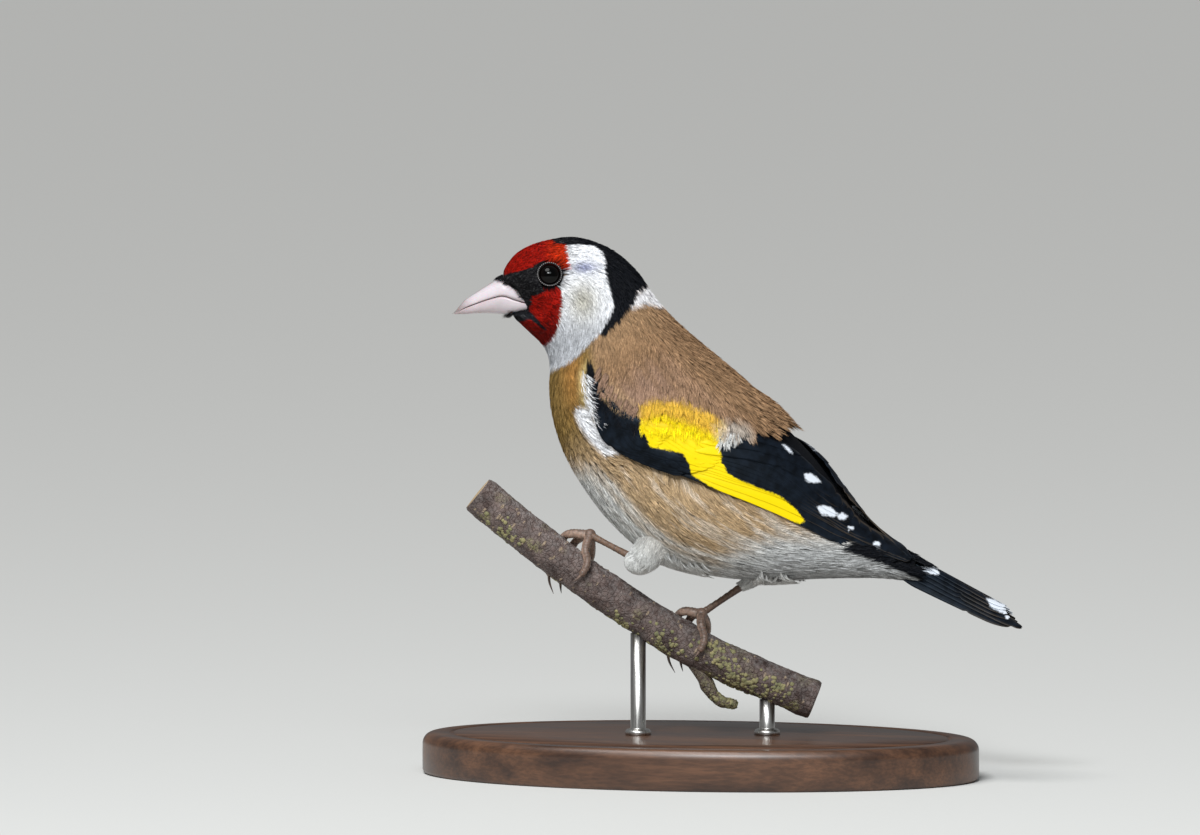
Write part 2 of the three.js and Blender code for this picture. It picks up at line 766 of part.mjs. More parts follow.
function thighSolid(leg, margin) {
  return tube(lineThrough(leg.thigh), leg.thighRadii.map((r) => r + margin), 12, 9);
}

function tarsusSolid(leg, footName, margin) {
  const hub = FEET[footName];
  const end = byPerch(hub.along, 5, hub.rise);
  const from = new THREE.Vector3(...leg.tarsusFrom);
  const radii = leg.tarsusRadii.map((r) => r + margin);
  return tube(new THREE.LineCurve3(from, end), [radii[0], radii[0] * 0.92, radii[1]], 8, 3);
}

function addLegs(body) {
  const perch = perchSolid(CLEAR);
  for (const side of ['left', 'right']) {
    const leg = LEGS[side];
    const footName = `foot_${side}`;
    const foot = footSolid(footName).subtract(perch);
    const hub = byPerch(FEET[footName].along, 5, FEET[footName].rise);
    const ball = new THREE.SphereGeometry(HUB_RADIUS + CLEAR, 12, 8).translate(hub.x, hub.y, hub.z);
    const tarsus = tarsusSolid(leg, footName, 0).subtract(thighSolid(leg, CLEAR)).subtract(solidOf(ball));
    addPiece(`thigh_${side}`, largest(thighSolid(leg, 0).subtract(body)), 0xd9d3cc, 0.9);
    addPiece(`tarsus_${side}`, largest(tarsus), 0x8f6a5c, 0.6);
    const clearOfTarsus = foot.subtract(largest(tarsus).add(grownTarsus(leg, footName)));
    addPiece(footName, largest(clearOfTarsus), 0x9a7568, 0.6);
  }
}

// The tarsus grown by the gap but kept out of the hub, to clear the toes' tops.
function grownTarsus(leg, footName) {
  const hub = byPerch(FEET[footName].along, 5, FEET[footName].rise);
  const ball = new THREE.SphereGeometry(HUB_RADIUS, 12, 8).translate(hub.x, hub.y, hub.z);
  return largest(tarsusSolid(leg, footName, CLEAR).subtract(solidOf(ball)));
}

// Stand

function addStand() {
  const half = BASE.length / 2;
  const profile = [
    [0, 0], [half - 0.8, 0], [half, 0.8], [half, BASE.height - BASE.edge],
    [half - 0.7, BASE.height - 0.7], [half - BASE.edge, BASE.height], [0, BASE.height],
  ];
  const lathe = new THREE.LatheGeometry(profile.map((p) => new THREE.Vector2(...p)), BASE.sides);
  lathe.rotateX(Math.PI / 2);
  lathe.scale(1, BASE.width / BASE.length, 1);
  addPiece('stand_base', solidOf(lathe), 0x4a3020, 0.4);
  const perch = perchSolid(CLEAR);
  for (const [name, [x, y]] of Object.entries(ROD.at)) {
    const foot = BASE.height + CLEAR;
    const rod = new THREE.CylinderGeometry(ROD.radius, ROD.radius, ROD.reach - foot, ROD.sides);
    rod.rotateX(Math.PI / 2).translate(x, y, (ROD.reach + foot) / 2);
    const trimmed = solidOf(rod).subtract(perch).decompose();
    const lower = trimmed.sort((a, b) => a.boundingBox().min[2] - b.boundingBox().min[2])[0];
    addPiece(name, lower, 0xb9b4aa, 0.3);
  }
}

const grownBody = bodyForm(CLEAR);
addBody();
addBill();
addEyes();
addWings(grownBody);
addTail(grownBody);
addLegs(grownBody);
addPerch();
addStand();

export default group;
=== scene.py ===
# A European goldfinch at life size, gripping a cut length of branch that a small stand holds up.
import math

import bpy
import numpy as np
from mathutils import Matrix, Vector


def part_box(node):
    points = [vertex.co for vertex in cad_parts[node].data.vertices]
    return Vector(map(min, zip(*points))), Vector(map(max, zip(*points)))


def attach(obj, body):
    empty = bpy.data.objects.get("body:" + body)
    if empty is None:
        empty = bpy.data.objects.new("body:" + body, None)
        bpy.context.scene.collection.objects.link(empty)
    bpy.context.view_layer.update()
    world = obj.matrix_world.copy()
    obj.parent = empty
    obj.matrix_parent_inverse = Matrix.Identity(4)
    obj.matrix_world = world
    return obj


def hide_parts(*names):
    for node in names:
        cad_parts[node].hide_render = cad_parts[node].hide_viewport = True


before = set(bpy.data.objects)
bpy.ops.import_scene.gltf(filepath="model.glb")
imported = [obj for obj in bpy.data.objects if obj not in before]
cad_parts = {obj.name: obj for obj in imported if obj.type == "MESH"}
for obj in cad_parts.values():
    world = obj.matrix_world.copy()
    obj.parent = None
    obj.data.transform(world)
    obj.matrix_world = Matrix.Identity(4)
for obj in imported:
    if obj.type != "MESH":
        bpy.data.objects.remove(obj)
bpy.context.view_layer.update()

MM = 0.001  # shapes are worked out in millimetres and put into the meshes in metres
SEED = 17

# The photograph's frame and the scale of the bird in it
PHOTO = {"width": 1200, "height": 835}
MM_PER_PIXEL = 0.195
VIEW_AZIMUTH = math.radians(12.0)
VIEW_ELEVATION = math.radians(4.0)
ORIGIN_PIXEL = (700.0, 776.0)  # where the middle of the stand's underside would be seen

# The body's form, the same as in the solids: x and z on the back, x and z on the belly, half width
BODY = np.array([
    (-38.8, 96.9, -37.1, 91.4, 2.6),
    (-38.4, 99.0, -36.7, 89.5, 5.0),
    (-35.7, 102.2, -35.3, 88.1, 7.2),
    (-30.6, 104.3, -33.4, 86.3, 8.6),
    (-24.2, 104.9, -31.4, 84.4, 9.4),
    (-17.6, 102.5, -30.1, 82.2, 9.7),
    (-12.7, 98.3, -29.6, 79.2, 9.9),
    (-9.0, 93.1, -29.7, 74.7, 11.2),
    (-4.6, 88.5, -28.7, 68.8, 13.2),
    (1.6, 83.3, -26.3, 62.2, 15.0),
    (9.0, 77.3, -22.3, 55.6, 16.2),
    (16.9, 69.6, -16.5, 48.6, 16.4),
    (23.1, 63.1, -9.0, 42.7, 15.4),
    (28.1, 56.7, 0.6, 39.7, 13.2),
    (33.1, 50.9, 12.4, 38.5, 10.4),
    (37.6, 47.2, 24.3, 39.1, 7.6),
    (40.8, 45.2, 34.9, 39.4, 5.9),
    (43.4, 43.6, 41.5, 39.0, 5.0),
])
LAST = len(BODY) - 1
KEEL = 0.12  # how much fuller the section is below its middle
NECK_X = -18.9  # where the upright line stands that the head is turned about
HEAD_TURN = math.radians(12.0)
TURN_FADE = (5.0, 8.0)  # stations over which the head's turn fades out

# The rails of the folded wings, in degrees from the back's midline at equal steps of stations
RAIL_FROM = 7.7
RAIL_STEP = 1.8
WINGS = {
    "left": {"outer": (98, 110.5, 84.5, 67, 64, 62), "inner": (92, 82, 27, 14, 8, 42)},
    "right": {"outer": (-98, -110.5, -84.5, -67, -45, 30), "inner": (-92, -82, -27, 14, 8, 42)},
}

# Arrays and smooth functions


def smoothstep(low, high, value):
    """0 below low, 1 above high, and a smooth cubic step between."""
    share = np.clip((np.asarray(value, float) - low) / (high - low), 0.0, 1.0)
    return share * share * (3.0 - 2.0 * share)


def mix(first, second, share):
    """The first where share is 0, the second where it is 1."""
    return first + (second - first) * share


def unit(vectors):
    """Vectors at length 1."""
    return vectors / np.maximum(np.linalg.norm(vectors, axis=-1, keepdims=True), 1e-9)


def dot(first, second):
    """The scalar product along the last axis, which is kept."""
    return np.sum(first * second, axis=-1, keepdims=True)


def line_through(points, place, mirrored=True):
    """A Catmull-Rom line through equally spaced points, for places from 0 to 1.

    Its ends are mirrored, or held where mirrored is False."""
    points = np.asarray(points, float)
    last = len(points) - 1
    before = 2 * points[:1] - points[1:2] if mirrored else points[:1]
    after = 2 * points[-1:] - points[-2:-1] if mirrored else points[-1:]
    padded = np.concatenate([before, points, after])
    reach = np.clip(np.asarray(place, float), 0.0, 1.0) * last
    first = np.minimum(reach.astype(int), last - 1)
    f = reach - first
    if points.ndim > 1:
        f = f[..., None]
    p0, p1, p2, p3 = (padded[first + k] for k in range(4))
    rise = (p2 - p0) * f
    bend = (2 * p0 - 5 * p1 + 4 * p2 - p3) * f**2
    turn = (3 * p1 - p0 - 3 * p2 + p3) * f**3
    return p1 + 0.5 * (rise + bend + turn)


def grain(points, size, seed, waves=20):
    """Smooth noise near -1 to 1: a sum of sines along seeded directions, of wavelengths near size."""
    draw = np.random.default_rng(seed)
    directions = unit(draw.normal(size=(waves, points.shape[-1])))
    numbers = 2 * np.pi / size * draw.uniform(0.55, 1.6, waves)
    phases = draw.uniform(0, 2 * np.pi, waves)
    total = np.zeros(points.shape[:-1])
    for direction, number, phase in zip(directions, numbers, phases):
        total += np.sin(points @ direction * number + phase)
    return total / math.sqrt(waves)


def all_round(count):
    """Angles spread evenly over a full turn, in radians."""
    return np.linspace(0, 2 * np.pi, count, endpoint=False)


def linear(red, green, blue):
    """A colour given as it looks on a screen, 0 to 255, as linear light."""
    screen = np.array([red, green, blue]) / 255.0
    return np.where(screen <= 0.04045, screen / 12.92, ((screen + 0.055) / 1.055) ** 2.4)


# Pieces


class Shape:
    """Points and faces gathered for one piece, with the values that each point keeps."""

    def __init__(self):
        self.points = []
        self.faces = []
        self.values = []
        self.count = 0

    def add(self, points, faces, **values):
        """Takes points (n, 3) in millimetres, a list of face arrays, and arrays of n values."""
        self.points.append(points.reshape(-1, 3))
        self.faces.extend(block + self.count for block in faces)
        self.values.append(values)
        self.count += len(self.points[-1])
        return self

    def piece(self, name, finish, slot, replaces=()):
        """Puts what was gathered into one mesh object that rides on the frame."""
        mesh = bpy.data.meshes.new(name)
        points = np.concatenate(self.points) * MM
        mesh.vertices.add(len(points))
        mesh.vertices.foreach_set("co", points.astype(np.float32).ravel())
        sizes = np.concatenate([np.full(len(block), block.shape[1]) for block in self.faces])
        corners = np.concatenate([block.ravel() for block in self.faces])
        starts = np.concatenate([[0], np.cumsum(sizes)[:-1]])
        mesh.loops.add(len(corners))
        mesh.loops.foreach_set("vertex_index", corners.astype(np.int32))
        mesh.polygons.add(len(sizes))
        mesh.polygons.foreach_set("loop_start", starts.astype(np.int32))
        mesh.update(calc_edges=True)
        mesh.polygons.foreach_set("use_smooth", np.ones(len(sizes), bool))
        for key in self.values[0]:
            keep_value(mesh, key, np.concatenate([kept[key] for kept in self.values]), corners)
        mesh.materials.append(finish)
        mesh.validate()
        made = bpy.data.objects.new(name, mesh)
        bpy.context.scene.collection.objects.link(made)
        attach(made, "root")
        if replaces:
            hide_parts(*replaces)
        return made


def keep_value(mesh, key, values, corners):
    """Keeps a UV map (names ending in UV, or OFBake), a colour or a number on each point."""
    values = values.astype(np.float32)
    if key.endswith("UV") or key == "OFBake":
        layer = mesh.uv_layers.new(name=key)
        layer.data.foreach_set("uv", values[corners].ravel())
    elif values.ndim == 2:
        full = np.concatenate([values, np.ones((len(values), 1), np.float32)], axis=1)
        mesh.attributes.new(key, "FLOAT_COLOR", "POINT").data.foreach_set("color", full.ravel())
    else:
        mesh.attributes.new(key, "FLOAT", "POINT").data.foreach_set("value", values)


def grid_faces(rows, cols, joined=False, flipped=False):
    """Quads between the points of a grid; joined links its last column to its first."""
    i, j = np.meshgrid(np.arange(rows - 1), np.arange(cols if joined else cols - 1), indexing="ij")
    i, j = i.ravel(), j.ravel()
    k = (j + 1) % cols
    quads = np.stack([i * cols + j, (i + 1) * cols + j, (i + 1) * cols + k, i * cols + k], axis=1)
    return quads[:, ::-1] if flipped else quads


def with_poles(values):
    """A grid's values in one list, then the means of its first and its last row."""
    ends = np.stack([values[0].mean(axis=0), values[-1].mean(axis=0)])
    return np.concatenate([values.reshape(-1, *values.shape[2:]), ends])


def drum(rings, **values):
    """A closed surface: rings of points joined in turn, with a fan of triangles over each end.

    It is turned the right way out by the sign of its volume."""
    rows, cols = rings.shape[:2]
    points = with_poles(rings)
    quads = grid_faces(rows, cols, joined=True)
    j = np.arange(cols)
    k = (j + 1) % cols
    start = np.stack([np.full(cols, rows * cols), j, k], axis=1)
    last = (rows - 1) * cols
    end = np.stack([np.full(cols, rows * cols + 1), last + k, last + j], axis=1)
    a, b, c = (points[quads[:, n]] for n in (0, 1, 2))
    middle = points.mean(axis=0)
    volume = np.sum((a - middle) * np.cross(b - middle, c - middle))
    faces = [quads, np.concatenate([start, end])]
    if volume < 0:
        faces = [block[:, ::-1] for block in faces]
    return points, faces, {key: with_poles(value) for key, value in values.items()}


def sweep(path, outward, radius, sides, squash=1.0, **values):
    """Rings round a path: centre + radius (cos a outward + squash sin a sideways)."""
    tangent = unit(np.gradient(path, axis=0))
    outward = unit(outward - dot(outward, tangent) * tangent)
    sideways = np.cross(tangent, outward)
    angle = all_round(sides)
    if np.ndim(radius) == 1:
        radius = radius[:, None] * np.ones(sides)
    cos, sin = np.cos(angle)[None, :, None], np.sin(angle)[None, :, None]
    around = cos * outward[:, None] + squash * sin * sideways[:, None]
    return drum(path[:, None] + radius[..., None] * around, **values)


def turned_rings(profile, sides, middle=(0.0, 0.0), narrow=1.0):
    """Rings of a profile about an upright line: (reach cos a, narrow reach sin a, height)."""
    reach, height = np.array(profile).T
    turn = all_round(sides)
    x = middle[0] + reach[:, None] * np.cos(turn)
    y = middle[1] + reach[:, None] * np.sin(turn) * narrow
    return np.stack([x, y, height[:, None] * np.ones(sides)], axis=-1)


def ball(centre, radius, rows=24, sides=32, stretch=(1, 1, 1)):
    """A round surface: latitude from pole to pole, longitude all round."""
    up, turn = np.meshgrid(np.linspace(0, np.pi, rows + 2)[1:-1], all_round(sides), indexing="ij")
    rings = np.stack([np.sin(up) * np.cos(turn), np.sin(up) * np.sin(turn), np.cos(up)], axis=-1)
    return drum(np.asarray(centre) + radius * rings * np.asarray(stretch))


# Finishes


def add_node(tree, kind, inputs=None, **settings):
    """A shader node with its settings; an input is a value or another node's output."""
    made = tree.nodes.new(kind)
    for key, value in settings.items():
        setattr(made, key, value)
    for key, value in (inputs or {}).items():
        if isinstance(value, bpy.types.NodeSocket):
            tree.links.new(value, made.inputs[key])
        else:
            made.inputs[key].default_value = value
    return made


def new_finish(name, **sockets):
    """A material with a principled shader and its plain sockets set."""
    made = bpy.data.materials.new(name)
    made.use_nodes = True
    shader = made.node_tree.nodes["Principled BSDF"]
    for key, value in sockets.items():
        shader.inputs[key.replace("_", " ")].default_value = value
    return made, made.node_tree, shader


def object_place(tree):
    """Place on the piece in metres."""
    return add_node(tree, "ShaderNodeTexCoord").outputs["Object"]


def noise(tree, size, detail=3.0, vector=None, rough=0.55):
    """Noise whose grains are about size millimetres."""
    where = vector or object_place(tree)
    inputs = {"Vector": where, "Scale": 1.0 / (size * MM), "Detail": detail, "Roughness": rough}
    return add_node(tree, "ShaderNodeTexNoise", inputs).outputs["Fac"]


def spread(tree, value, low, high, to_low=0.0, to_high=1.0):
    """A value from one range brought to another and kept inside it."""
    inputs = {"Value": value, "From Min": low, "From Max": high, "To Min": to_low, "To Max": to_high}
    return add_node(tree, "ShaderNodeMapRange", inputs).outputs["Result"]


def blended(tree, share, first, second, how="MIX"):
    """Two colours mixed by a share."""
    made = add_node(tree, "ShaderNodeMix", data_type="RGBA", blend_type=how)
    for key, value in ((0, share), (6, first), (7, second)):
        if isinstance(value, bpy.types.NodeSocket):
            tree.links.new(value, made.inputs[key])
        else:
            made.inputs[key].default_value = (*value, 1.0) if np.ndim(value) and len(value) == 3 else value
    return made.outputs[2]


def maths(tree, how, first, second=0.0):
    """A sum, product or other function of two values."""
    return add_node(tree, "ShaderNodeMath", {0: first, 1: second}, operation=how).outputs[0]


def raised(tree, shader, height, strength, depth):
    """Bump of a height field, depth in millimetres."""
    bump = add_node(tree, "ShaderNodeBump", {"Height": height, "Strength": strength, "Distance": depth * MM})
    tree.links.new(bump.outputs["Normal"], shader.inputs["Normal"])


def kept(tree, name, output="Color"):
    """A value that the piece's points keep."""
    return add_node(tree, "ShaderNodeAttribute", attribute_name=name).outputs[output]


def plumage_finish():
    """Soft matt barbs: the kept marking, mottled, with a few pale flecks."""
    made, tree, shader = new_finish("soft_plumage", Roughness=0.65, Specular_IOR_Level=0.06)
    mottle = spread(tree, noise(tree, 1.6), 0.3, 0.7, 0.9, 1.08)
    fine = spread(tree, noise(tree, 0.32, 2.0), 0.3, 0.7, 0.8, 1.16)
    colour = blended(tree, 1.0, kept(tree, "marking"), maths(tree, "MULTIPLY", mottle, fine), "MULTIPLY")
    fleck = spread(tree, noise(tree, 0.22, 1.0), 0.62, 0.78, 0.0, 0.09)
    tree.links.new(blended(tree, fleck, colour, (0.4, 0.39, 0.38)), shader.inputs["Base Color"])
    return made


def skin_finish():
    """The down under the coat: its marking, darker, partly for the down's own grey and partly as painted
    shade in the gaps between feathers.
    """
    made, tree, shader = new_finish("down", Roughness=0.9, Specular_IOR_Level=0.1)
    # the down's grey and painted shade: the marking at half to four fifths of its tone
    shade = spread(tree, noise(tree, 0.5, 4.0), 0.3, 0.7, 0.5, 0.8)
    colour = blended(tree, 1.0, kept(tree, "marking"), shade, "MULTIPLY")
    tree.links.new(colour, shader.inputs["Base Color"])
    raised(tree, shader, noise(tree, 0.35, 4.0), 0.6, 0.3)
    return made


BARB_PITCH = 0.2  # mm between the ridges of a vane's barbs
BARB_SLANT = 1.35  # mm that a barb runs towards the tip for each mm it runs sideways


def vane_finish():
    """Black vanes with ridged barbs, a painted blue sheen and painted shade between the ridges; yellow and
    white where the kept fields are above zero.
    """
    made, tree, shader = new_finish("vanes", Specular_IOR_Level=0.12, Specular_Tint=(0.7, 0.86, 1.0, 1.0))
    on_vane = add_node(tree, "ShaderNodeUVMap", uv_map="VaneUV").outputs[0]
    place = add_node(tree, "ShaderNodeSeparateXYZ", {"Vector": on_vane})
    across, along = place.outputs[0], place.outputs[1]
    swept = maths(tree, "MULTIPLY", maths(tree, "ABSOLUTE", across), BARB_SLANT)
    slanted = maths(tree, "SUBTRACT", along, swept)
    uneven = spread(tree, noise(tree, 0.9, 2.0), 0.3, 0.7, -0.12, 0.12)
    turns = maths(tree, "MULTIPLY", maths(tree, "ADD", slanted, uneven), 2 * math.pi / BARB_PITCH)
    ridge = maths(tree, "SINE", turns)
    fringe = maths(tree, "MULTIPLY", ridge, 0.11)
    ragged = maths(tree, "ADD", fringe, spread(tree, noise(tree, 0.45, 3.0), 0.25, 0.75, -0.16, 0.16))
    yellow = spread(tree, maths(tree, "ADD", kept(tree, "yellow", "Fac"), ragged), -0.1, 0.1)
    white = spread(tree, maths(tree, "ADD", kept(tree, "white", "Fac"), ragged), -0.12, 0.12)
    # painted sheen: patches of the black are lifted to a bluer black, as a blue gloss
    painted_sheen = spread(tree, noise(tree, 1.8, 3.0), 0.35, 0.65)
    black = blended(tree, painted_sheen, (0.0016, 0.0022, 0.0036), (0.0058, 0.0088, 0.0145))
    warm = kept(tree, "warm", "Fac")
    gold = blended(tree, warm, (0.80, 0.60, 0.0), (0.58, 0.38, 0.01))
    dusk = kept(tree, "dusk", "Fac")
    colour = blended(tree, yellow, blended(tree, dusk, black, (0.11, 0.082, 0.055)), gold)
    colour = blended(tree, white, colour, (0.66, 0.70, 0.76))
    # painted shade: the colour is a little darker in the grooves between the barb ridges and lighter on them
    colour = blended(tree, 1.0, colour, spread(tree, ridge, -1.0, 1.0, 0.97, 1.02), "MULTIPLY")
    tree.links.new(colour, shader.inputs["Base Color"])
    tree.links.new(spread(tree, noise(tree, 1.2), 0.3, 0.7, 0.4, 0.5), shader.inputs["Roughness"])
    raised(tree, shader, ridge, 0.2, 0.012)
    return made


def horn_finish():
    """Pinkish ivory horn: the kept tone, with faint growth lines and a soft gloss."""
    made, tree, shader = new_finish(
        "bill_horn", Subsurface_Weight=0.12, Subsurface_Scale=0.0012, Coat_Weight=0.25, Coat_Roughness=0.25
    )
    cloud = spread(tree, noise(tree, 2.2, 4.0), 0.3, 0.7, 0.93, 1.06)
    colour = blended(tree, 1.0, kept(tree, "horn"), cloud, "MULTIPLY")
    tree.links.new(colour, shader.inputs["Base Color"])
    tree.links.new(spread(tree, noise(tree, 0.8), 0.3, 0.7, 0.3, 0.42), shader.inputs["Roughness"])
    growth = {"Vector": object_place(tree), "Scale": 420.0, "Distortion": 5.0, "Detail": 2.0}
    lines = add_node(tree, "ShaderNodeTexWave", growth, bands_direction="DIAGONAL")
    raised(tree, shader, lines.outputs["Fac"], 0.12, 0.04)
    return made


def eye_finish():
    """A wet dark eye: nearly black with a brown iris."""
    made, tree, shader = new_finish("wet_eye", Roughness=0.02, Specular_IOR_Level=0.17)
    iris = spread(tree, noise(tree, 0.12, 4.0), 0.3, 0.7)
    brown = blended(tree, iris, (0.0006, 0.0004, 0.0003), (0.002, 0.001, 0.0006))
    colour = blended(tree, kept(tree, "iris", "Fac"), (0.0003, 0.0003, 0.0003), brown)
    tree.links.new(colour, shader.inputs["Base Color"])
    return made


def lid_finish():
    """Beaded bare skin round the eye, pale on the beads and dark between them."""
    made, tree, shader = new_finish("eye_rim", Roughness=0.6, Specular_IOR_Level=0.2)
    tone = spread(tree, noise(tree, 0.3, 3.0), 0.3, 0.7, 0.8, 1.15)
    tree.links.new(blended(tree, 1.0, kept(tree, "bare"), tone, "MULTIPLY"), shader.inputs["Base Color"])
    raised(tree, shader, noise(tree, 0.12, 3.0), 0.3, 0.03)
    return made


def scale_finish():
    """Brownish pink scaled skin, blotched, with painted shade in the grooves between its scales."""
    made, tree, shader = new_finish("leg_scales", Subsurface_Weight=0.06, Subsurface_Scale=0.0008)
    blotch = spread(tree, noise(tree, 0.6, 4.0), 0.3, 0.7, 0.55, 1.25)
    colour = blended(tree, 1.0, kept(tree, "scale"), blotch, "MULTIPLY")
    tree.links.new(colour, shader.inputs["Base Color"])
    tree.links.new(spread(tree, noise(tree, 0.5), 0.3, 0.7, 0.4, 0.6), shader.inputs["Roughness"])
    cells = add_node(tree, "ShaderNodeTexVoronoi", {"Vector": object_place(tree), "Scale": 3200.0})
    raised(tree, shader, cells.outputs["Distance"], 0.25, 0.04)
    return made


def claw_finish():
    """Grey-brown horn, paler at its root."""
    made, tree, shader = new_finish("claw_horn", Roughness=0.32, Coat_Weight=0.2, Coat_Roughness=0.2)
    streak = spread(tree, noise(tree, 0.5, 3.0), 0.3, 0.7, 0.75, 1.2)
    tree.links.new(blended(tree, 1.0, kept(tree, "scale"), streak, "MULTIPLY"), shader.inputs["Base Color"])
    raised(tree, shader, noise(tree, 0.25, 2.0), 0.15, 0.03)
    return made


def bark_finish():
    """Purple-brown bark with a grey bloom, stronger on top as a painted sky reflection, fine cracks, pale
    pores and yellow-green crust.
    """
    made, tree, shader = new_finish("bark", Specular_IOR_Level=0.35)
    patches = spread(tree, noise(tree, 2.4, 5.0), 0.32, 0.68)
    base = blended(tree, patches, (0.042, 0.025, 0.021), (0.165, 0.118, 0.104))
    dull = spread(tree, noise(tree, 1.1, 6.0, rough=0.7), 0.42, 0.7)
    # grey bloom in patches, with a painted sky reflection where the kept share is larger on the top
    bloom = maths(tree, "MULTIPLY", dull, kept(tree, "bloom", "Fac"))
    colour = blended(tree, bloom, base, (0.27, 0.245, 0.235))
    colour = blended(tree, kept(tree, "pore", "Fac"), colour, (0.33, 0.25, 0.17))
    fleck = spread(tree, noise(tree, 0.55, 4.0, rough=0.7), 0.42, 0.6)
    crust = maths(tree, "MULTIPLY", kept(tree, "crust", "Fac"), fleck)
    colour = blended(tree, crust, colour, (0.27, 0.25, 0.10))
    tree.links.new(colour, shader.inputs["Base Color"])
    tree.links.new(spread(tree, noise(tree, 1.5), 0.3, 0.7, 0.5, 0.75), shader.inputs["Roughness"])
    cells = {"Vector": object_place(tree), "Scale": 1100.0}
    cracks = add_node(tree, "ShaderNodeTexVoronoi", cells, feature="DISTANCE_TO_EDGE")
    plates = spread(tree, cracks.outputs["Distance"], 0.0, 0.12)
    height = maths(tree, "ADD", plates, noise(tree, 0.4, 6.0, rough=0.7))
    raised(tree, shader, height, 0.8, 0.2)
    return made


def lichen_finish():
    """Crusty lichen, from yellow-green to grey-green."""
    made, tree, shader = new_finish("lichen", Roughness=0.85, Specular_IOR_Level=0.15)
    tone = spread(tree, noise(tree, 1.2, 4.0), 0.35, 0.65)
    colour = blended(tree, tone, (0.17, 0.17, 0.09), (0.32, 0.28, 0.14))
    tree.links.new(colour, shader.inputs["Base Color"])
    raised(tree, shader, noise(tree, 0.3, 5.0), 0.7, 0.12)
    return made


def cut_wood_finish():
    """Sawn end grain with year rings round its middle."""
    made, tree, shader = new_finish("cut_wood", Roughness=0.7, Specular_IOR_Level=0.25)
    ring = maths(tree, "SINE", maths(tree, "MULTIPLY", kept(tree, "ring", "Fac"), 2 * math.pi / 0.55))
    pale = blended(tree, spread(tree, ring, -1, 1), (0.42, 0.29, 0.16), (0.58, 0.44, 0.27))
    stain = spread(tree, noise(tree, 1.4, 4.0), 0.3, 0.7, 0.7, 1.1)
    tree.links.new(blended(tree, 1.0, pale, stain, "MULTIPLY"), shader.inputs["Base Color"])
    raised(tree, shader, noise(tree, 0.3, 4.0), 0.5, 0.1)
    return made


def stand_wood_finish():
    """Dark stained hardwood: long grain, fine pores and a satin finish."""
    made, tree, shader = new_finish("stand_wood", Coat_Weight=0.3, Coat_Roughness=0.28)
    lengthways = {"Vector": object_place(tree), "Scale": (0.12, 1.0, 1.0)}
    stretch = add_node(tree, "ShaderNodeMapping", lengthways).outputs[0]
    figure = noise(tree, 5.0, 6.0, vector=stretch, rough=0.6)
    pores = noise(tree, 0.5, 3.0, vector=stretch)
    colour = blended(tree, spread(tree, figure, 0.35, 0.65), (0.035, 0.015, 0.008), (0.125, 0.055, 0.026))
    colour = blended(tree, 1.0, colour, spread(tree, pores, 0.4, 0.6, 0.75, 1.1), "MULTIPLY")
    tree.links.new(colour, shader.inputs["Base Color"])
    tree.links.new(spread(tree, figure, 0.3, 0.7, 0.34, 0.46), shader.inputs["Roughness"])
    raised(tree, shader, pores, 0.2, 0.05)
    return made


def stand_metal_finish():
    """Satin steel drawn along its length."""
    made, tree, shader = new_finish("stand_metal", Metallic=1.0)
    upright = {"Vector": object_place(tree), "Scale": (1.0, 1.0, 0.04)}
    drawn = add_node(tree, "ShaderNodeMapping", upright).outputs[0]
    streak = noise(tree, 0.25, 3.0, vector=drawn)
    tree.links.new(blended(tree, streak, (0.46, 0.45, 0.43), (0.66, 0.65, 0.62)), shader.inputs["Base Color"])
    tree.links.new(spread(tree, streak, 0.3, 0.7, 0.24, 0.38), shader.inputs["Roughness"])
    raised(tree, shader, streak, 0.08, 0.02)
    return made


# The body's form and its markings


def body_form(station, angle, lift=0.0):
    """A point on the body: middle + upward cos(angle) on the section, sideways half width sin(angle).

    The section is fuller below its middle, and the head's stations turn about the neck's upright line."""
    s = line_through(BODY, np.clip(station, 0, LAST) / LAST)
    swing = np.cos(np.radians(angle))
    middle_x, middle_z = (s[..., 0] + s[..., 2]) / 2, (s[..., 1] + s[..., 3]) / 2
    up_x, up_z = (s[..., 0] - s[..., 2]) / 2, (s[..., 1] - s[..., 3]) / 2
    reach = swing * (1 + lift / np.hypot(up_x, up_z))
    x = middle_x + up_x * reach - NECK_X
    y = -(s[..., 4] + lift) * np.sin(np.radians(angle)) * (1 - KEEL * swing)
    turn = HEAD_TURN * (1 - smoothstep(*TURN_FADE, station))
    cos, sin = np.cos(turn), np.sin(turn)
    return np.stack([NECK_X + x * cos - y * sin, x * sin + y * cos, middle_z + up_z * reach], axis=-1)


def over_body(station, angle, lift=0.0):
    """A point over the body; past either end it runs straight on."""
    inside = np.clip(station, 0.02, LAST - 0.02)
    on_body = body_form(inside, angle, lift)
    along = (body_form(inside + 0.02, angle, lift) - body_form(inside - 0.02, angle, lift)) / 0.04
    return on_body + along * (station - inside)[..., None]


def photo_place(points):
    """Where points are seen in the photograph's frame."""
    cos_a, sin_a = math.cos(VIEW_AZIMUTH), math.sin(VIEW_AZIMUTH)
    cos_e, sin_e = math.cos(VIEW_ELEVATION), math.sin(VIEW_ELEVATION)
    x, y, z = points[..., 0], points[..., 1], points[..., 2]
    right = x * cos_a + y * sin_a
    up = -x * sin_a * sin_e + y * cos_a * sin_e + z * cos_e
    return np.stack([ORIGIN_PIXEL[0] + right / MM_PER_PIXEL, ORIGIN_PIXEL[1] - up / MM_PER_PIXEL], axis=-1)


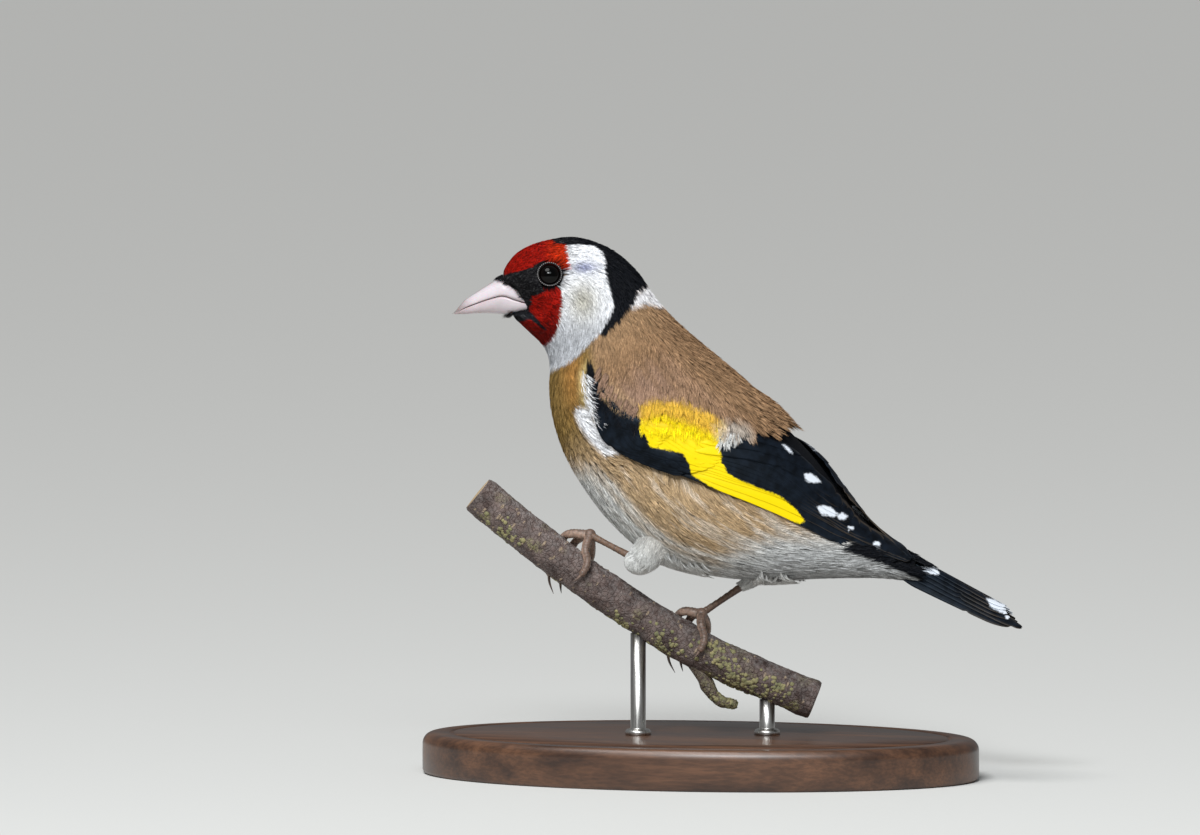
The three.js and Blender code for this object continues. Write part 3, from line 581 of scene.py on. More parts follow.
def inside(places, outline):
    """Signed distance in mm from a closed outline of pixels, above zero inside it."""
    corners = np.asarray(outline, float)
    nearest = np.full(places.shape[:-1], 1e9)
    within = np.zeros(places.shape[:-1], bool)
    x, y = places[..., 0], places[..., 1]
    for a, b in zip(corners, np.roll(corners, -1, axis=0)):
        edge = b - a
        share = np.clip(((x - a[0]) * edge[0] + (y - a[1]) * edge[1]) / (edge @ edge), 0, 1)
        nearest = np.minimum(nearest, np.hypot(x - a[0] - share * edge[0], y - a[1] - share * edge[1]))
        crosses = (a[1] > y) != (b[1] > y)
        safe = edge[1] if abs(edge[1]) > 1e-9 else 1e-9
        within ^= crosses & (x < a[0] + edge[0] * (y - a[1]) / safe)
    return np.where(within, nearest, -nearest) * MM_PER_PIXEL


def near_spot(places, spot, wide, high):
    """1 at a spot, falling off as a bell over wide and high pixels."""
    across = (places[..., 0] - spot[0]) / wide
    upright = (places[..., 1] - spot[1]) / high
    return np.exp(-(across**2) - upright**2)


# Outlines of the markings, in pixels of the photograph, run past the silhouette where they reach it
RED_BROW = [
    (490, 277), (494, 258), (510, 240), (530, 232), (546, 236), (556, 244), (566, 245), (567, 255),
    (571, 270), (566, 270), (561, 265), (556, 262), (541, 262), (532, 268), (519, 272), (505, 275),
]
BLACK_LORE = [
    (490, 277), (505, 275), (519, 272), (532, 268), (541, 262), (556, 262), (561, 265), (568.5, 271),
    (563, 279), (562.5, 288), (561, 291), (547, 291.5), (532, 297.5), (531.5, 306), (527, 313), (515, 309),
    (505, 300), (495, 290),
]
RED_CHEEK = [
    (532, 297.5), (547, 291.5), (561, 291), (562, 303), (559.5, 322), (555, 336), (546, 346), (534, 342),
    (512, 322), (516, 318), (529, 311),
]
BLACK_CHIN = [
    (498, 308), (527, 309), (531, 313), (547, 330), (544, 330), (531, 320), (516, 322), (500, 320),
]
BLACK_CROWN = [
    (546, 243.5), (565, 246), (578, 244.5), (594, 246), (602, 252), (605.5, 261), (605.5, 270), (608, 282),
    (610.5, 291), (614.5, 307), (610, 318), (602, 331), (597, 339), (606, 335), (621, 322), (633, 306),
    (637.5, 294), (647, 288), (646, 270), (625, 240), (590, 226), (555, 230), (545, 236),
]
WHITE_NAPE = [
    (640, 268), (647, 288), (637.5, 294), (631, 306), (632, 310), (640, 306), (650, 305), (662, 308),
    (668, 300), (652, 270),
]
WHITE_CHEEK = [
    (566, 244), (578, 240), (596, 240), (606, 252), (610, 270), (616, 291), (620, 308), (612, 320),
    (604, 332), (593, 341), (584, 351), (573, 361), (560, 368), (545, 373), (525, 372), (520, 350),
    (545, 343), (555, 336), (560, 322), (562, 303), (561, 291), (563, 280), (570, 271),
]
PALE_BELLY = [
    (560, 474), (590, 474), (612, 490), (636, 522), (672, 550), (715, 566), (745, 552), (775, 541),
    (840, 540), (915, 560), (930, 600), (780, 620), (620, 600), (570, 530),
]
CREAM_RIM = [(579, 374), (586, 364), (590, 372), (587, 392), (589, 408), (584, 409), (580, 394)]
PALE_BEND = [
    (580, 409), (587, 410), (594, 424), (608, 441), (616, 453), (605, 455), (592, 442), (580, 425),
    (576, 413),
]
GOLD_FADE = [
    (640, 408), (652, 402), (682, 404), (705, 414), (724, 428), (716, 446), (690, 448), (656, 446),
    (642, 430),
]
YELLOW_FADE = [
    (640, 424), (660, 418), (690, 428), (716, 440), (716, 452), (690, 458), (656, 452), (642, 438),
]
PALE_SCAPULAR = [(714, 430), (726, 426), (742, 428), (748, 438), (741, 452), (722, 452)]

BLACK_FRONT = [
    (587, 362), (592, 364), (598, 384), (604, 397), (616, 411), (640, 420), (640, 432), (614, 440),
    (601, 424), (592, 409), (587, 392), (586, 374),
]
BLACK_REAR = [
    (840, 549), (852, 553), (873, 560), (900, 571), (918, 580), (945, 592), (950, 560), (905, 540),
    (860, 535),
]

TONES = {
    "red": linear(146, 18, 8),
    "orange": linear(190, 46, 9),
    "dark_red": linear(84, 10, 6),
    "black": linear(15, 17, 22),
    "lore": linear(18, 17, 20),
    "white": linear(250, 251, 255),
    "cream": linear(182, 178, 164),
    "lilac": linear(152, 156, 182),
    # painted shade: a greyer white for the lower cheek and throat
    "throat_painted_shade": linear(178, 180, 184),
    "nape": linear(156, 126, 94),
    "mantle": linear(147, 116, 86),
    "scapular": linear(150, 121, 101),
    "rust": linear(168, 120, 62),
    "breast": linear(130, 106, 60),
    "flank": linear(184, 157, 121),
    "belly": linear(214, 214, 211),
    # vent: a grey white, painted shade under the body's rear
    "vent": linear(178, 179, 179),
    "pale": linear(190, 186, 178),
    "rim": linear(196, 176, 122),
    "gold": linear(214, 172, 62),
    "yellow": linear(240, 214, 20),
}


def plumage(station, angle):
    """The coat's colour: each marking laid over the last, with an edge about a barb wide."""
    side = np.abs(angle)
    place = photo_place(over_body(station, side))
    x, y = place[..., 0], place[..., 1]

    def laid(colour, name, share):
        return mix(colour, TONES[name], np.clip(share, 0, 1)[..., None])

    streaks = np.stack([station * 0.5, side * 0.12, side * 0.01], axis=-1)
    streak = grain(streaks, 1.0, SEED + 61)
    fine = grain(streaks * 3.1, 1.0, SEED + 62)
    colour = np.broadcast_to(TONES["mantle"], (*np.shape(station), 3)).copy()
    colour = laid(colour, "nape", 1 - smoothstep(6.6, 8.4, station))
    shoulder = smoothstep(8.0, 9.0, station) * smoothstep(30, 65, side)
    colour = laid(colour, "scapular", shoulder * (0.7 + 0.3 * streak))
    lower = smoothstep(84, 104, side + 6 * (station - 8))
    colour = laid(colour, "flank", lower)
    colour = laid(colour, "breast", smoothstep(9.8, 8.4, station) * smoothstep(88, 100, side))
    colour = laid(colour, "rust", near_spot(place, (572, 376), 11, 34) * smoothstep(80, 95, side) * 0.8)
    pale_streaks = smoothstep(0.0, 1.2, streak + 0.5 * fine) * lower * smoothstep(9.2, 10.4, station)
    colour = laid(colour, "belly", pale_streaks * 0.3)
    belly = inside(place, PALE_BELLY) + 0.6 * streak + 0.3 * fine
    colour = laid(colour, "belly", smoothstep(-4.2, 2.6, belly))
    # painted shade: the rear underside greyed with the vent tone
    colour = laid(colour, "vent", smoothstep(12.6, 14.2, station) * smoothstep(60, 90, side) * 0.7)
    colour = laid(colour, "vent", smoothstep(13.2, 14.6, station) * 0.5)
    colour = laid(colour, "rim", smoothstep(-1.0, 0.8, inside(place, CREAM_RIM)) * 0.75)
    colour = laid(colour, "white", smoothstep(-0.9, 0.4, inside(place, PALE_BEND)) * 0.95)
    colour = laid(colour, "gold", smoothstep(-1.1, 0.7, inside(place, GOLD_FADE)))
    colour = laid(colour, "yellow", smoothstep(-1.3, 0.5, inside(place, YELLOW_FADE)))
    colour = laid(colour, "pale", smoothstep(-1.6, 0.8, inside(place, PALE_SCAPULAR)) * 0.6)
    colour = laid(colour, "black", smoothstep(-0.2, 0.2, inside(place, BLACK_FRONT)))
    colour = laid(colour, "black", smoothstep(-0.3, 0.3, inside(place, BLACK_REAR)))
    colour = colour * (1 + 0.05 * streak + 0.06 * fine)[..., None]
    colour = laid(colour, "white", smoothstep(-0.6, 0.5, inside(place, WHITE_NAPE)) * 0.8)
    cheek = smoothstep(-0.25, 0.25, inside(place, WHITE_CHEEK))
    white = np.broadcast_to(TONES["white"], colour.shape).copy()
    # painted shade: the white is greyer towards the bottom of the cheek and the throat
    white = laid(white, "throat_painted_shade", smoothstep(285, 345, y) * 0.9)
    white = laid(white, "cream", near_spot(place, (583, 301), 17, 20) * 0.9)
    white = laid(white, "lilac", near_spot(place, (584, 268), 14, 6))
    colour = mix(colour, white, cheek[..., None])
    colour = laid(colour, "black", smoothstep(-0.15, 0.15, inside(place, BLACK_CROWN)))
    brow, lore, red_cheek = (inside(place, outline) for outline in (RED_BROW, BLACK_LORE, RED_CHEEK))
    seam = smoothstep(-0.5, -0.2, lore) * smoothstep(-0.5, -0.2, np.maximum(brow, red_cheek))
    colour = laid(colour, "lore", seam)
    red = np.broadcast_to(TONES["red"], colour.shape).copy()
    red = laid(red, "orange", smoothstep(540, 562, x) * smoothstep(280, 262, y) * 0.95)
    red = laid(red, "dark_red", smoothstep(310, 334, y) * 0.7)
    colour = mix(colour, red, smoothstep(-0.12, 0.12, brow)[..., None])
    colour = mix(colour, red, smoothstep(-0.12, 0.12, red_cheek)[..., None])
    colour = laid(colour, "black", smoothstep(-0.1, 0.1, inside(place, BLACK_CHIN)))
    colour = laid(colour, "lore", smoothstep(-0.12, 0.12, lore))
    return colour


def rail(values, station):
    """The angle of a wing's rail at a station."""
    return line_through(values, (station - RAIL_FROM) / (RAIL_STEP * (len(values) - 1)), mirrored=False)


def wing_share(side, station, angle):
    """How far from a wing's outer rail, 0, to its inner rail, 1, an angle lies."""
    outer = rail(WINGS[side]["outer"], station)
    inner = rail(WINGS[side]["inner"], station)
    return (angle - outer) / np.where(np.abs(inner - outer) < 1, 1, inner - outer)


MANTLE_REACH = ((8.0, 0.34), (8.6, 0.22), (9.2, 0.06), (9.8, 0.0), (12.0, 0.0))  # share of a wing it covers


def under_wing(station, angle, margin):
    """1 where the wings cover the body by more than a margin of their width, else 0, with a soft step.

    Where the wings have met over the back, everything between their outer rails is covered."""
    mantle = np.interp(station, *np.array(MANTLE_REACH).T)
    covered = np.zeros(np.shape(station))
    for side in WINGS:
        share = wing_share(side, station, angle)
        past_outer = smoothstep(margin - 0.04, margin + 0.04, share)
        past_inner = smoothstep(mantle - 0.04, mantle + 0.04, 1 - share)
        covered = np.maximum(covered, past_outer * past_inner)
    width = rail(WINGS["left"]["outer"], station) - rail(WINGS["right"]["outer"], station)
    low = rail(WINGS["right"]["outer"], station) + 0.5 * margin * width
    high = rail(WINGS["left"]["outer"], station) - 0.5 * margin * width
    between = smoothstep(-2, 2, angle - low) * smoothstep(-2, 2, high - angle)
    covered = np.maximum(covered, between * smoothstep(10.6, 11.0, station))
    return covered * smoothstep(8.0, 8.5, station)


# The coat

COAT_STATIONS = (0, 1, 2, 3, 4, 5, 6, 8, 10, 12, 14, 16, 17)
COAT_LENGTH = (1.3, 1.4, 1.7, 2.1, 2.5, 2.9, 3.2, 3.6, 4.3, 5.0, 5.4, 4.8, 4.2)
COAT_WIDTH = (0.5, 0.5, 0.58, 0.68, 0.8, 0.9, 1.0, 1.15, 1.35, 1.5, 1.5, 1.4, 1.2)
COAT_DEPTH = (0.35, 0.4, 0.5, 0.62, 0.75, 0.85, 0.95, 1.05, 1.05, 0.95, 0.9, 0.8, 0.65)
ALONG_STEP = 0.22  # share of a feather's length between one feather and the next behind it
ACROSS_STEP = 0.42  # share of its width between neighbours
STRAND = 3  # barbs that cling together in a strand
BARB_SHARES = np.array([0.0, 0.58, 1.0])  # shares of a barb at its root, its widest place and its tip
COAT_DRAWS = 700000  # places tried for the coat's roots
# How feathers look: their barbs; how much feathers and strands differ in tone, and the painted glints on
# sparse barbs; the painted shade at a barb's root and middle and the painted light at its tip; how closely
# a strand's barbs gather
PLAIN = {"barbs": 18, "tones": (0.05, 0.14, 0.0002), "shade": (0.5, 0.88, 1.14), "gather": 0.4}
FACE_LOOK = {"barbs": 18, "tones": (0.22, 0.6, 0.0028), "shade": (0.2, 0.72, 1.35), "gather": 0.8}
SILKY = {"barbs": 18, "tones": (0.04, 0.1, 0.0), "shade": (0.72, 0.95, 1.06), "gather": 0.35}
LOOSE_HAIRS = {"barbs": 18, "tones": (0.08, 0.2, 0.001), "shade": (0.8, 1.0, 1.0), "gather": 0.0}
SINGLE_HAIRS = {**LOOSE_HAIRS, "barbs": 3}

EYE = {"station": 3.39, "angle": 71.4, "radius": 2.45, "sunk": 1.45}
BAKE_PATCH = 0.003  # width of a feather's patch on the OFBake map


def coat(values, station):
    """A size of the coat at a station."""
    return np.interp(station, COAT_STATIONS, values)


def even_draws(count, dimensions, seed):
    """Evenly spread points in a unit box, from powers of the plastic number's kin."""
    root = {2: 1.32471795724, 3: 1.22074408460}[dimensions]
    steps = root ** -np.arange(1, dimensions + 1)
    start = np.random.default_rng(seed).uniform(size=dimensions)
    return (start + np.arange(1, count + 1)[:, None] * steps) % 1.0


def chart_frame(chart, first, second, step=0.03):
    """A chart's point and its change along each of its two numbers, with the outward direction."""
    by_first = (chart(first + step, second, 0.0) - chart(first - step, second, 0.0)) / (2 * step)
    turn = step * 20
    by_second = (chart(first, second + turn, 0.0) - chart(first, second - turn, 0.0)) / (2 * turn)
    return chart(first, second, 0.0), by_first, by_second, unit(np.cross(by_second, by_first))


def chart_rates(by_first, by_second, way):
    """How fast both numbers of a chart change for each mm along a tangent direction."""
    ee, ff, ef = dot(by_first, by_first), dot(by_second, by_second), dot(by_first, by_second)
    de, df = dot(way, by_first), dot(way, by_second)
    span = ee * ff - ef * ef
    return (de * ff - df * ef) / span, (df * ee - de * ef) / span


def eye_frame(side):
    """The place of an eye on the body, with its outward direction."""
    angle = np.array(side * EYE["angle"])
    at = body_form(np.array(EYE["station"]), angle)
    outward = unit(body_form(np.array(EYE["station"]), angle, 1.0) - at)
    return at, outward


def towards_belly(way, outward, second):
    """The direction over the coat at right angles to a way, on the side of the belly."""
    return -np.sign(second)[:, None] * np.cross(outward, way)


def turned(way, downward, degrees):
    """A way turned towards the belly by some degrees."""
    angle = np.radians(degrees)[:, None]
    return np.cos(angle) * way + np.sin(angle) * downward


def turn_of_coat(station, side):
    """Degrees by which the coat's lie is turned to the belly: down over the scapulars, up by the wings."""
    down = smoothstep(6.6, 8.2, station) * (1 - smoothstep(10.4, 11.6, station))
    turn = 42 * down * smoothstep(22, 50, side) * (1 - smoothstep(97, 101, side))
    to_bend = smoothstep(7.2, 7.9, station) * (1 - smoothstep(9.6, 10.4, station))
    turn -= 36 * to_bend * smoothstep(98, 104, side) * (1 - smoothstep(114, 138, side))
    rear = smoothstep(11.5, 13.5, station) * (1 - smoothstep(15.5, 16.5, station))
    turn -= 16 * rear * smoothstep(60, 66, side) * (1 - smoothstep(86, 120, side))
    cheek = smoothstep(3.6, 4.6, station) * (1 - smoothstep(6.0, 7.0, station))
    return turn + 16 * cheek * smoothstep(50, 80, side) * (1 - smoothstep(130, 160, side))


def lie_of_coat(point, along, outward, first, second):
    """Backwards along the body, turned by region, and away from the eyes round them."""
    way = unit(along)
    way = turned(way, towards_belly(way, outward, second), turn_of_coat(first, np.abs(second)))
    for side in (1, -1):
        at, _ = eye_frame(side)
        from_eye = point - at
        away = unit(from_eye - dot(from_eye, outward) * outward)
        near = 1 - smoothstep(2.6, 4.2, np.linalg.norm(from_eye, axis=-1, keepdims=True))
        way = unit(mix(way, away, 0.8 * near))
    return way


def barbed_feathers(
    chart, first, second, sizes, colours, bake_box, seed,
    lie=None, top=None, clump=0.3, spread_by=0.09, look=PLAIN,
):
    """Small feathers, each a fan of barbs: along = length s, sideways = half width k s^0.55 (1 - clump s^3).

    s runs from root to tip and k from -1 to 1 over the barbs. A barb is a kite, pointed at both ends. It
    rises from the skin at minus the depth to the coat's face, 1 - (1 - s)^1.7 of the way. The look says how
    much feathers and strands differ in tone, how strong the painted glints on sparse barbs are, the painted
    shading along a barb (painted shade at its root and middle, painted light at its tip), and how closely a
    strand's barbs gather."""
    barbs = look["barbs"]
    length, width, depth, barb = (np.broadcast_to(size, first.shape)[:, None] for size in sizes)
    draw = np.random.default_rng(seed)
    count = len(first)
    point, by_first, by_second, outward = chart_frame(chart, first, second)
    way = unit(by_first) if lie is None else lie(point, by_first, outward, first, second)
    sideways = unit(np.cross(outward, way))
    yaw = draw.normal(0, spread_by, (count, 1))
    way, sideways = unit(way + sideways * yaw), unit(sideways - way * yaw)
    way_rates = chart_rates(by_first, by_second, way)
    side_rates = chart_rates(by_first, by_second, sideways)
    fan = np.linspace(-1, 1, barbs) + draw.normal(0, 0.05, (count, barbs))
    reach = length * (1 - 0.2 * fan**2) * draw.uniform(0.78, 1.08, (count, barbs))
    s = BARB_SHARES
    forward = reach[..., None] * s
    lateral = (width / 2 * fan)[..., None] * s**0.55 * (1 - clump * s**3)
    lateral = lateral + (reach * draw.normal(0, 0.03, (count, barbs)))[..., None] * s**2
    strand_middle = np.repeat(fan[:, STRAND // 2 :: STRAND], STRAND, axis=1)[:, :barbs]
    gather = (width / 2 * (strand_middle - fan))[..., None] * s**1.5 * (1 - clump * s**3)
    lateral = lateral + look["gather"] * gather
    rise = 1 - (1 - s) ** 1.7
    face = np.zeros((count, 1, 1)) if top is None else np.broadcast_to(top, first.shape)[:, None, None]
    flutter = draw.normal(0, 0.1, (count, barbs))[..., None] * depth[..., None] * rise
    lift = -depth[..., None] * (1 - rise) + face * rise + flutter
    half = barb * draw.uniform(0.35, 0.62, (count, barbs))
    tilt = half * np.sin(draw.normal(0, 0.7, (count, barbs)))

    def kite(values, edge):
        middle = values[..., 1]
        return np.stack([values[..., 0], middle - edge, middle + edge, values[..., 2]], axis=-1)

    a = first[:, None, None] + forward * way_rates[0][..., None] + lateral * side_rates[0][..., None]
    b = second[:, None, None] + forward * way_rates[1][..., None] + lateral * side_rates[1][..., None]
    points = chart(kite(a, half * side_rates[0]), kite(b, half * side_rates[1]), kite(lift, tilt))
    colour = colours(a[..., 1:].mean(axis=-1), b[..., 1:].mean(axis=-1))
    by_feather, by_barb, painted_glint = look["tones"]
    strand_tone = np.repeat(draw.normal(1, by_barb, (count, barbs // STRAND)), STRAND, axis=1)
    tone = draw.normal(1, by_feather, (count, 1)) * strand_tone * draw.normal(1, 0.15, (count, barbs))
    # painted glints: a few barbs get grey light added, most on grey and black barbs, as small highlights
    greyness = colour.min(axis=-1, keepdims=True) / np.maximum(colour.max(axis=-1, keepdims=True), 1e-4)
    glint_strength = np.minimum(draw.exponential(1.0, (count, barbs, 1)) ** 3, 40.0)
    colour = colour * np.clip(tone, 0.35, 1.6)[..., None] + painted_glint * greyness * glint_strength
    # painted shading: each barb is darkened at its root as shade between feathers and lightened at its tip as
    # light
    shade = np.array(look["shade"])[[0, 1, 1, 2], None]
    marking = np.clip(colour[:, :, None] * shade, 0, 1)
    (low_a, high_a), (low_b, high_b) = bake_box
    place = np.stack([(first - low_a) / (high_a - low_a), (second - low_b) / (high_b - low_b)], axis=-1)
    place = 0.02 + 0.96 * place
    across = np.stack([fan, fan - 0.1, fan + 0.1, fan], axis=-1)
    along = np.broadcast_to(s[[0, 1, 1, 2]], across.shape)
    bake = place[:, None, None] + np.stack([across / 2, along - 0.5], axis=-1) * BAKE_PATCH
    starts = np.arange(count * barbs)[:, None, None] * 4
    faces = (starts + np.array([[0, 2, 1], [1, 2, 3]])).reshape(-1, 3)
    return points.reshape(-1, 3), [faces], {"marking": marking.reshape(-1, 3), "OFBake": bake.reshape(-1, 2)}


# The face's edge against the bill, in pixels of the photograph, run on round the bill
HORN_FACE = [
    (440, 300), (496, 275), (504.5, 283.5), (511, 289.5), (518, 296), (522, 303), (526, 311.5),
    (506, 315.5), (440, 325),
]
FACE_FLARE = 1.1  # mm that the face widens for each mm away from the horn's edge
FACE_BACK = (3.4, 4.0)  # stations over which the drawing in of the face fades out


def horn_half(along, height):
    """The horn's half width at mm from its tip and mm above it: half (1 - ratio^2.3)^0.5."""
    mouth = bill_track("tomium", along)
    above = (height - mouth) / np.maximum(bill_track("culmen", along) - mouth, 0.1)
    below = (mouth - height) / np.maximum(mouth - bill_track("keel", along), 0.1)
    ratio = np.clip(np.maximum(above, below), 0, 1)
    return bill_track("half", along) * np.sqrt(1 - ratio**2.3)


def drawn_in(points):
    """How far the face is drawn in beside the bill, square to the bill's middle plane, as vectors.

    Its half width ends at the horn's own and grows evenly away from the horn's edge."""
    cos, sin = math.cos(HEAD_TURN), math.sin(HEAD_TURN)
    x = points[..., 0] - NECK_X
    along = x * cos + points[..., 1] * sin + NECK_X - BILL["tip"][0]
    across = points[..., 1] * cos - x * sin
    height = points[..., 2] - BILL["tip"][1]
    outside = -inside(photo_place(bill_place(along, -np.abs(across), height)), HORN_FACE)
    limit = bill_track("half", along) - 0.25 + FACE_FLARE * np.maximum(outside, 0)
    limit = mix(limit, horn_half(along, height) - 0.5, smoothstep(0.35, 0.05, outside))
    excess = np.abs(across) - limit
    pull = np.sign(across) * 0.5 * (excess + np.sqrt(excess**2 + 0.09))
    return pull[..., None] * np.array([sin, -cos, 0.0])


def face_and_body(station, angle, lift=0.0):
    """The coat's chart: a point over the body, drawn in beside the bill."""
    station, angle, lift = np.broadcast_arrays(station, angle, lift)
    points = over_body(station, angle, lift)
    near = station < FACE_BACK[1]
    shift = drawn_in(over_body(station[near], angle[near]))
    points[near] += shift * (1 - smoothstep(*FACE_BACK, station[near]))[:, None]
    return points


def coat_roots():
    """Roots over the body, closer where the feathers are smaller, none under the wings or the eyes."""
    draws = even_draws(COAT_DRAWS, 3, SEED)
    station = draws[:, 0] * LAST
    angle = draws[:, 1] * 360 - 180
    cell = LAST * 360 / len(draws)
    _, by_first, by_second, _ = chart_frame(face_and_body, np.clip(station, 0.05, LAST - 0.05), angle)
    area = np.linalg.norm(np.cross(by_first, by_second), axis=-1)
    room = ALONG_STEP * coat(COAT_LENGTH, station) * ACROSS_STEP * coat(COAT_WIDTH, station)
    chance = area * cell / room * (1 - under_wing(station, angle, 0.05))
    chosen = draws[:, 2] < chance
    station, angle = station[chosen], angle[chosen]
    point = over_body(station, angle)
    clear = inside(photo_place(over_body(station, np.abs(angle))), HORN_FACE) < -0.15
    clear |= station > 3.5
    for side in (1, -1):
        at, _ = eye_frame(side)
        clear &= np.linalg.norm(point - at, axis=-1) > EYE["radius"]
    return station[clear], angle[clear]


def near_value(value, middle, wide):
    """1 at a value, falling off as a bell."""
    return np.exp(-(((value - middle) / wide) ** 2))


def coat_face(station, angle):
    """How high the coat's face lies: on the form, over the wing's upper edge, under its lower edge."""
    ahead = 0.7 * coat(COAT_LENGTH, station) / 7.0
    side = np.abs(angle)
    outer = rail(WINGS["left"]["outer"], station)
    inner = rail(WINGS["left"]["inner"], station)
    on_mantle = (side < inner + 12) & (station > 7.4) & (station < 11.8)
    over = on_mantle * smoothstep(-16, -2, side - inner) * smoothstep(7.6, 8.4, station)
    over = np.maximum(over, on_mantle * smoothstep(10.2, 10.9, station + ahead))
    tucked = smoothstep(10, 3, side - outer) * (side > outer - 12) * smoothstep(9.5, 10.2, station)
    lapping = near_value(station, 14.7, 0.75) * near_value(side, 68, 12)
    return 1.2 * over - 0.5 * tucked * (1 - lapping) + 0.75 * lapping


# The coat's pieces: which stations and sides each takes, its slot, its look and how far its barbs close
COAT_PARTS = {
    "coat_face": (lambda t, a: t < 2.4, "plumage_head", FACE_LOOK, 0.35),
    "coat_brow": (lambda t, a: (t >= 2.4) & (t < 3.9), "plumage_head", FACE_LOOK, 0.35),
    "coat_crown_and_cheeks": (lambda t, a: (t >= 3.9) & (t < 5.6), "plumage_head", PLAIN, 0.35),
    "coat_neck": (lambda t, a: (t >= 5.6) & (t < 7.8), "plumage_body", PLAIN, 0.35),
    "coat_mantle": (lambda t, a: (t >= 7.8) & (np.abs(a) < 88), "plumage_body", PLAIN, 0.35),
    "coat_breast": (lambda t, a: (t >= 7.8) & (t < 10.4) & (np.abs(a) >= 88), "plumage_body", PLAIN, 0.5),
    "coat_belly": (lambda t, a: (t >= 10.4) & (t < 13.0) & (np.abs(a) >= 88), "plumage_body", SILKY, 0.4),
    "coat_vent": (lambda t, a: (t >= 13.0) & (np.abs(a) >= 88), "plumage_vent", SILKY, 0.4),
}


def make_coat(finish):
    """The small feathers of the head and body, in pieces by region."""
    station, angle = coat_roots()
    for number, (name, (belongs, slot, look, clump)) in enumerate(COAT_PARTS.items()):
        chosen = belongs(station, angle)
        t, a = station[chosen], angle[chosen]
        barb = 0.15 * coat(COAT_WIDTH, t) ** 0.5
        sizes = (coat(COAT_LENGTH, t), coat(COAT_WIDTH, t), coat(COAT_DEPTH, t), barb)
        box = ((t.min(), t.max()), (a.min(), a.max()))
        points, faces, values = barbed_feathers(
            face_and_body, t, a, sizes, plumage, box, SEED + number,
            lie_of_coat, coat_face(t, a), clump, look=look,
        )
        Shape().add(points, faces, **values).piece(name, finish, slot)


FRINGE_DRAWS = 6000  # places tried for the roots of each fringe
FRINGE_DEPTH = 0.4

# Loose feathers laid over the coat's edges: the outline of their roots in the photograph's pixels, how
# many to the square mm, length, width and barb in mm, the turn of their lie to the belly with its
# spread in degrees, the height of their tips, how far the barbs close to a point, their tone (None for
# the coat's own) and their look.
FRINGES = {
    "fringe_bend": (
        [(578, 374), (584, 366), (587, 372), (587, 392), (592, 408), (600, 424), (592, 420), (583, 402)],
        2.6, (3.3, 0.7, 0.085), (-26, 14), 1.4, 0.0, "white", SINGLE_HAIRS,
    ),
    "fringe_scapular": (
        [(598, 360), (608, 370), (618, 390), (640, 402), (640, 408), (620, 400), (606, 388)],
        3.0, (2.8, 0.9, 0.09), (46, 8), 1.2, 0.6, "scapular", PLAIN,
    ),
    "fringe_pale": (
        [(716, 431), (725, 426), (738, 428), (741, 434), (734, 438), (721, 441)],
        5.0, (2.9, 0.6, 0.06), (52, 14), 1.2, 0.9, "belly", LOOSE_HAIRS,
    ),
    "fringe_gold": (
        [
            (642, 406), (655, 401), (682, 405), (704, 415), (722, 428), (715, 433), (690, 422), (660, 414),
            (645, 414),
        ],
        3.0, (2.8, 0.9, 0.08), (38, 10), 1.25, 0.5, None, SILKY,
    ),
    "fringe_vent": (
        [(757, 568), (782, 567), (796, 576), (776, 584), (757, 580)],
        0.8, (4.8, 1.0, 0.08), (56, 24), 1.9, 0.8, "belly", SILKY,
    ),
    "fringe_thigh": (
        [(636, 540), (652, 542), (668, 550), (700, 560), (700, 572), (664, 566), (640, 556)],
        1.3, (4.8, 1.3, 0.09), (48, 14), 0.9, 0.85, "belly", SILKY,
    ),
}


def fringe_roots(outline, density, number):
    """Roots on the near side inside an outline, then the same on the far side."""
    station, angle = np.meshgrid(np.linspace(6, 15, 90), np.linspace(20, 175, 120), indexing="ij")
    seen = inside(photo_place(over_body(station, angle)), outline) > 0
    low, high = station[seen].min() - 0.1, station[seen].max() + 0.1
    near, far = angle[seen].min() - 2, angle[seen].max() + 2
    draws = even_draws(FRINGE_DRAWS, 3, SEED + 200 + number)
    t = mix(low, high, draws[:, 0])
    a = mix(near, far, draws[:, 1])
    _, by_first, by_second, _ = chart_frame(over_body, t, a)
    area = np.linalg.norm(np.cross(by_first, by_second), axis=-1) * (high - low) * (far - near)
    chosen = draws[:, 2] < density * area / len(draws)
    chosen &= inside(photo_place(over_body(t, a)), outline) > 0
    return np.concatenate([t[chosen], t[chosen]]), np.concatenate([a[chosen], -a[chosen]])


def make_fringes(finish):
    """Loose feathers over the edges of the mantle, the breast and the belly."""
    for number, (name, (outline, density, sizes, turn, top, clump, tone, look)) in enumerate(FRINGES.items()):
        t, a = fringe_roots(outline, density, number)

        def lie(point, along, outward, first, second, turn=turn[0]):
            way = unit(along)
            return turned(way, towards_belly(way, outward, second), np.full(len(first), float(turn)))

        def colours(first, second, tone=tone):
            if tone is None:
                return plumage(first, second)
            return np.broadcast_to(TONES[tone], (*np.shape(first), 3))

        box = ((t.min(), t.max()), (-180, 180))
        length, width, barb = sizes
        points, faces, values = barbed_feathers(
            over_body, t, a, (length, width, FRINGE_DEPTH, barb), colours, box, SEED + 300 + number,
            lie, top, clump, math.radians(turn[1]), look,
        )
        Shape().add(points, faces, **values).piece(name, finish, "plumage_body")


# Legs

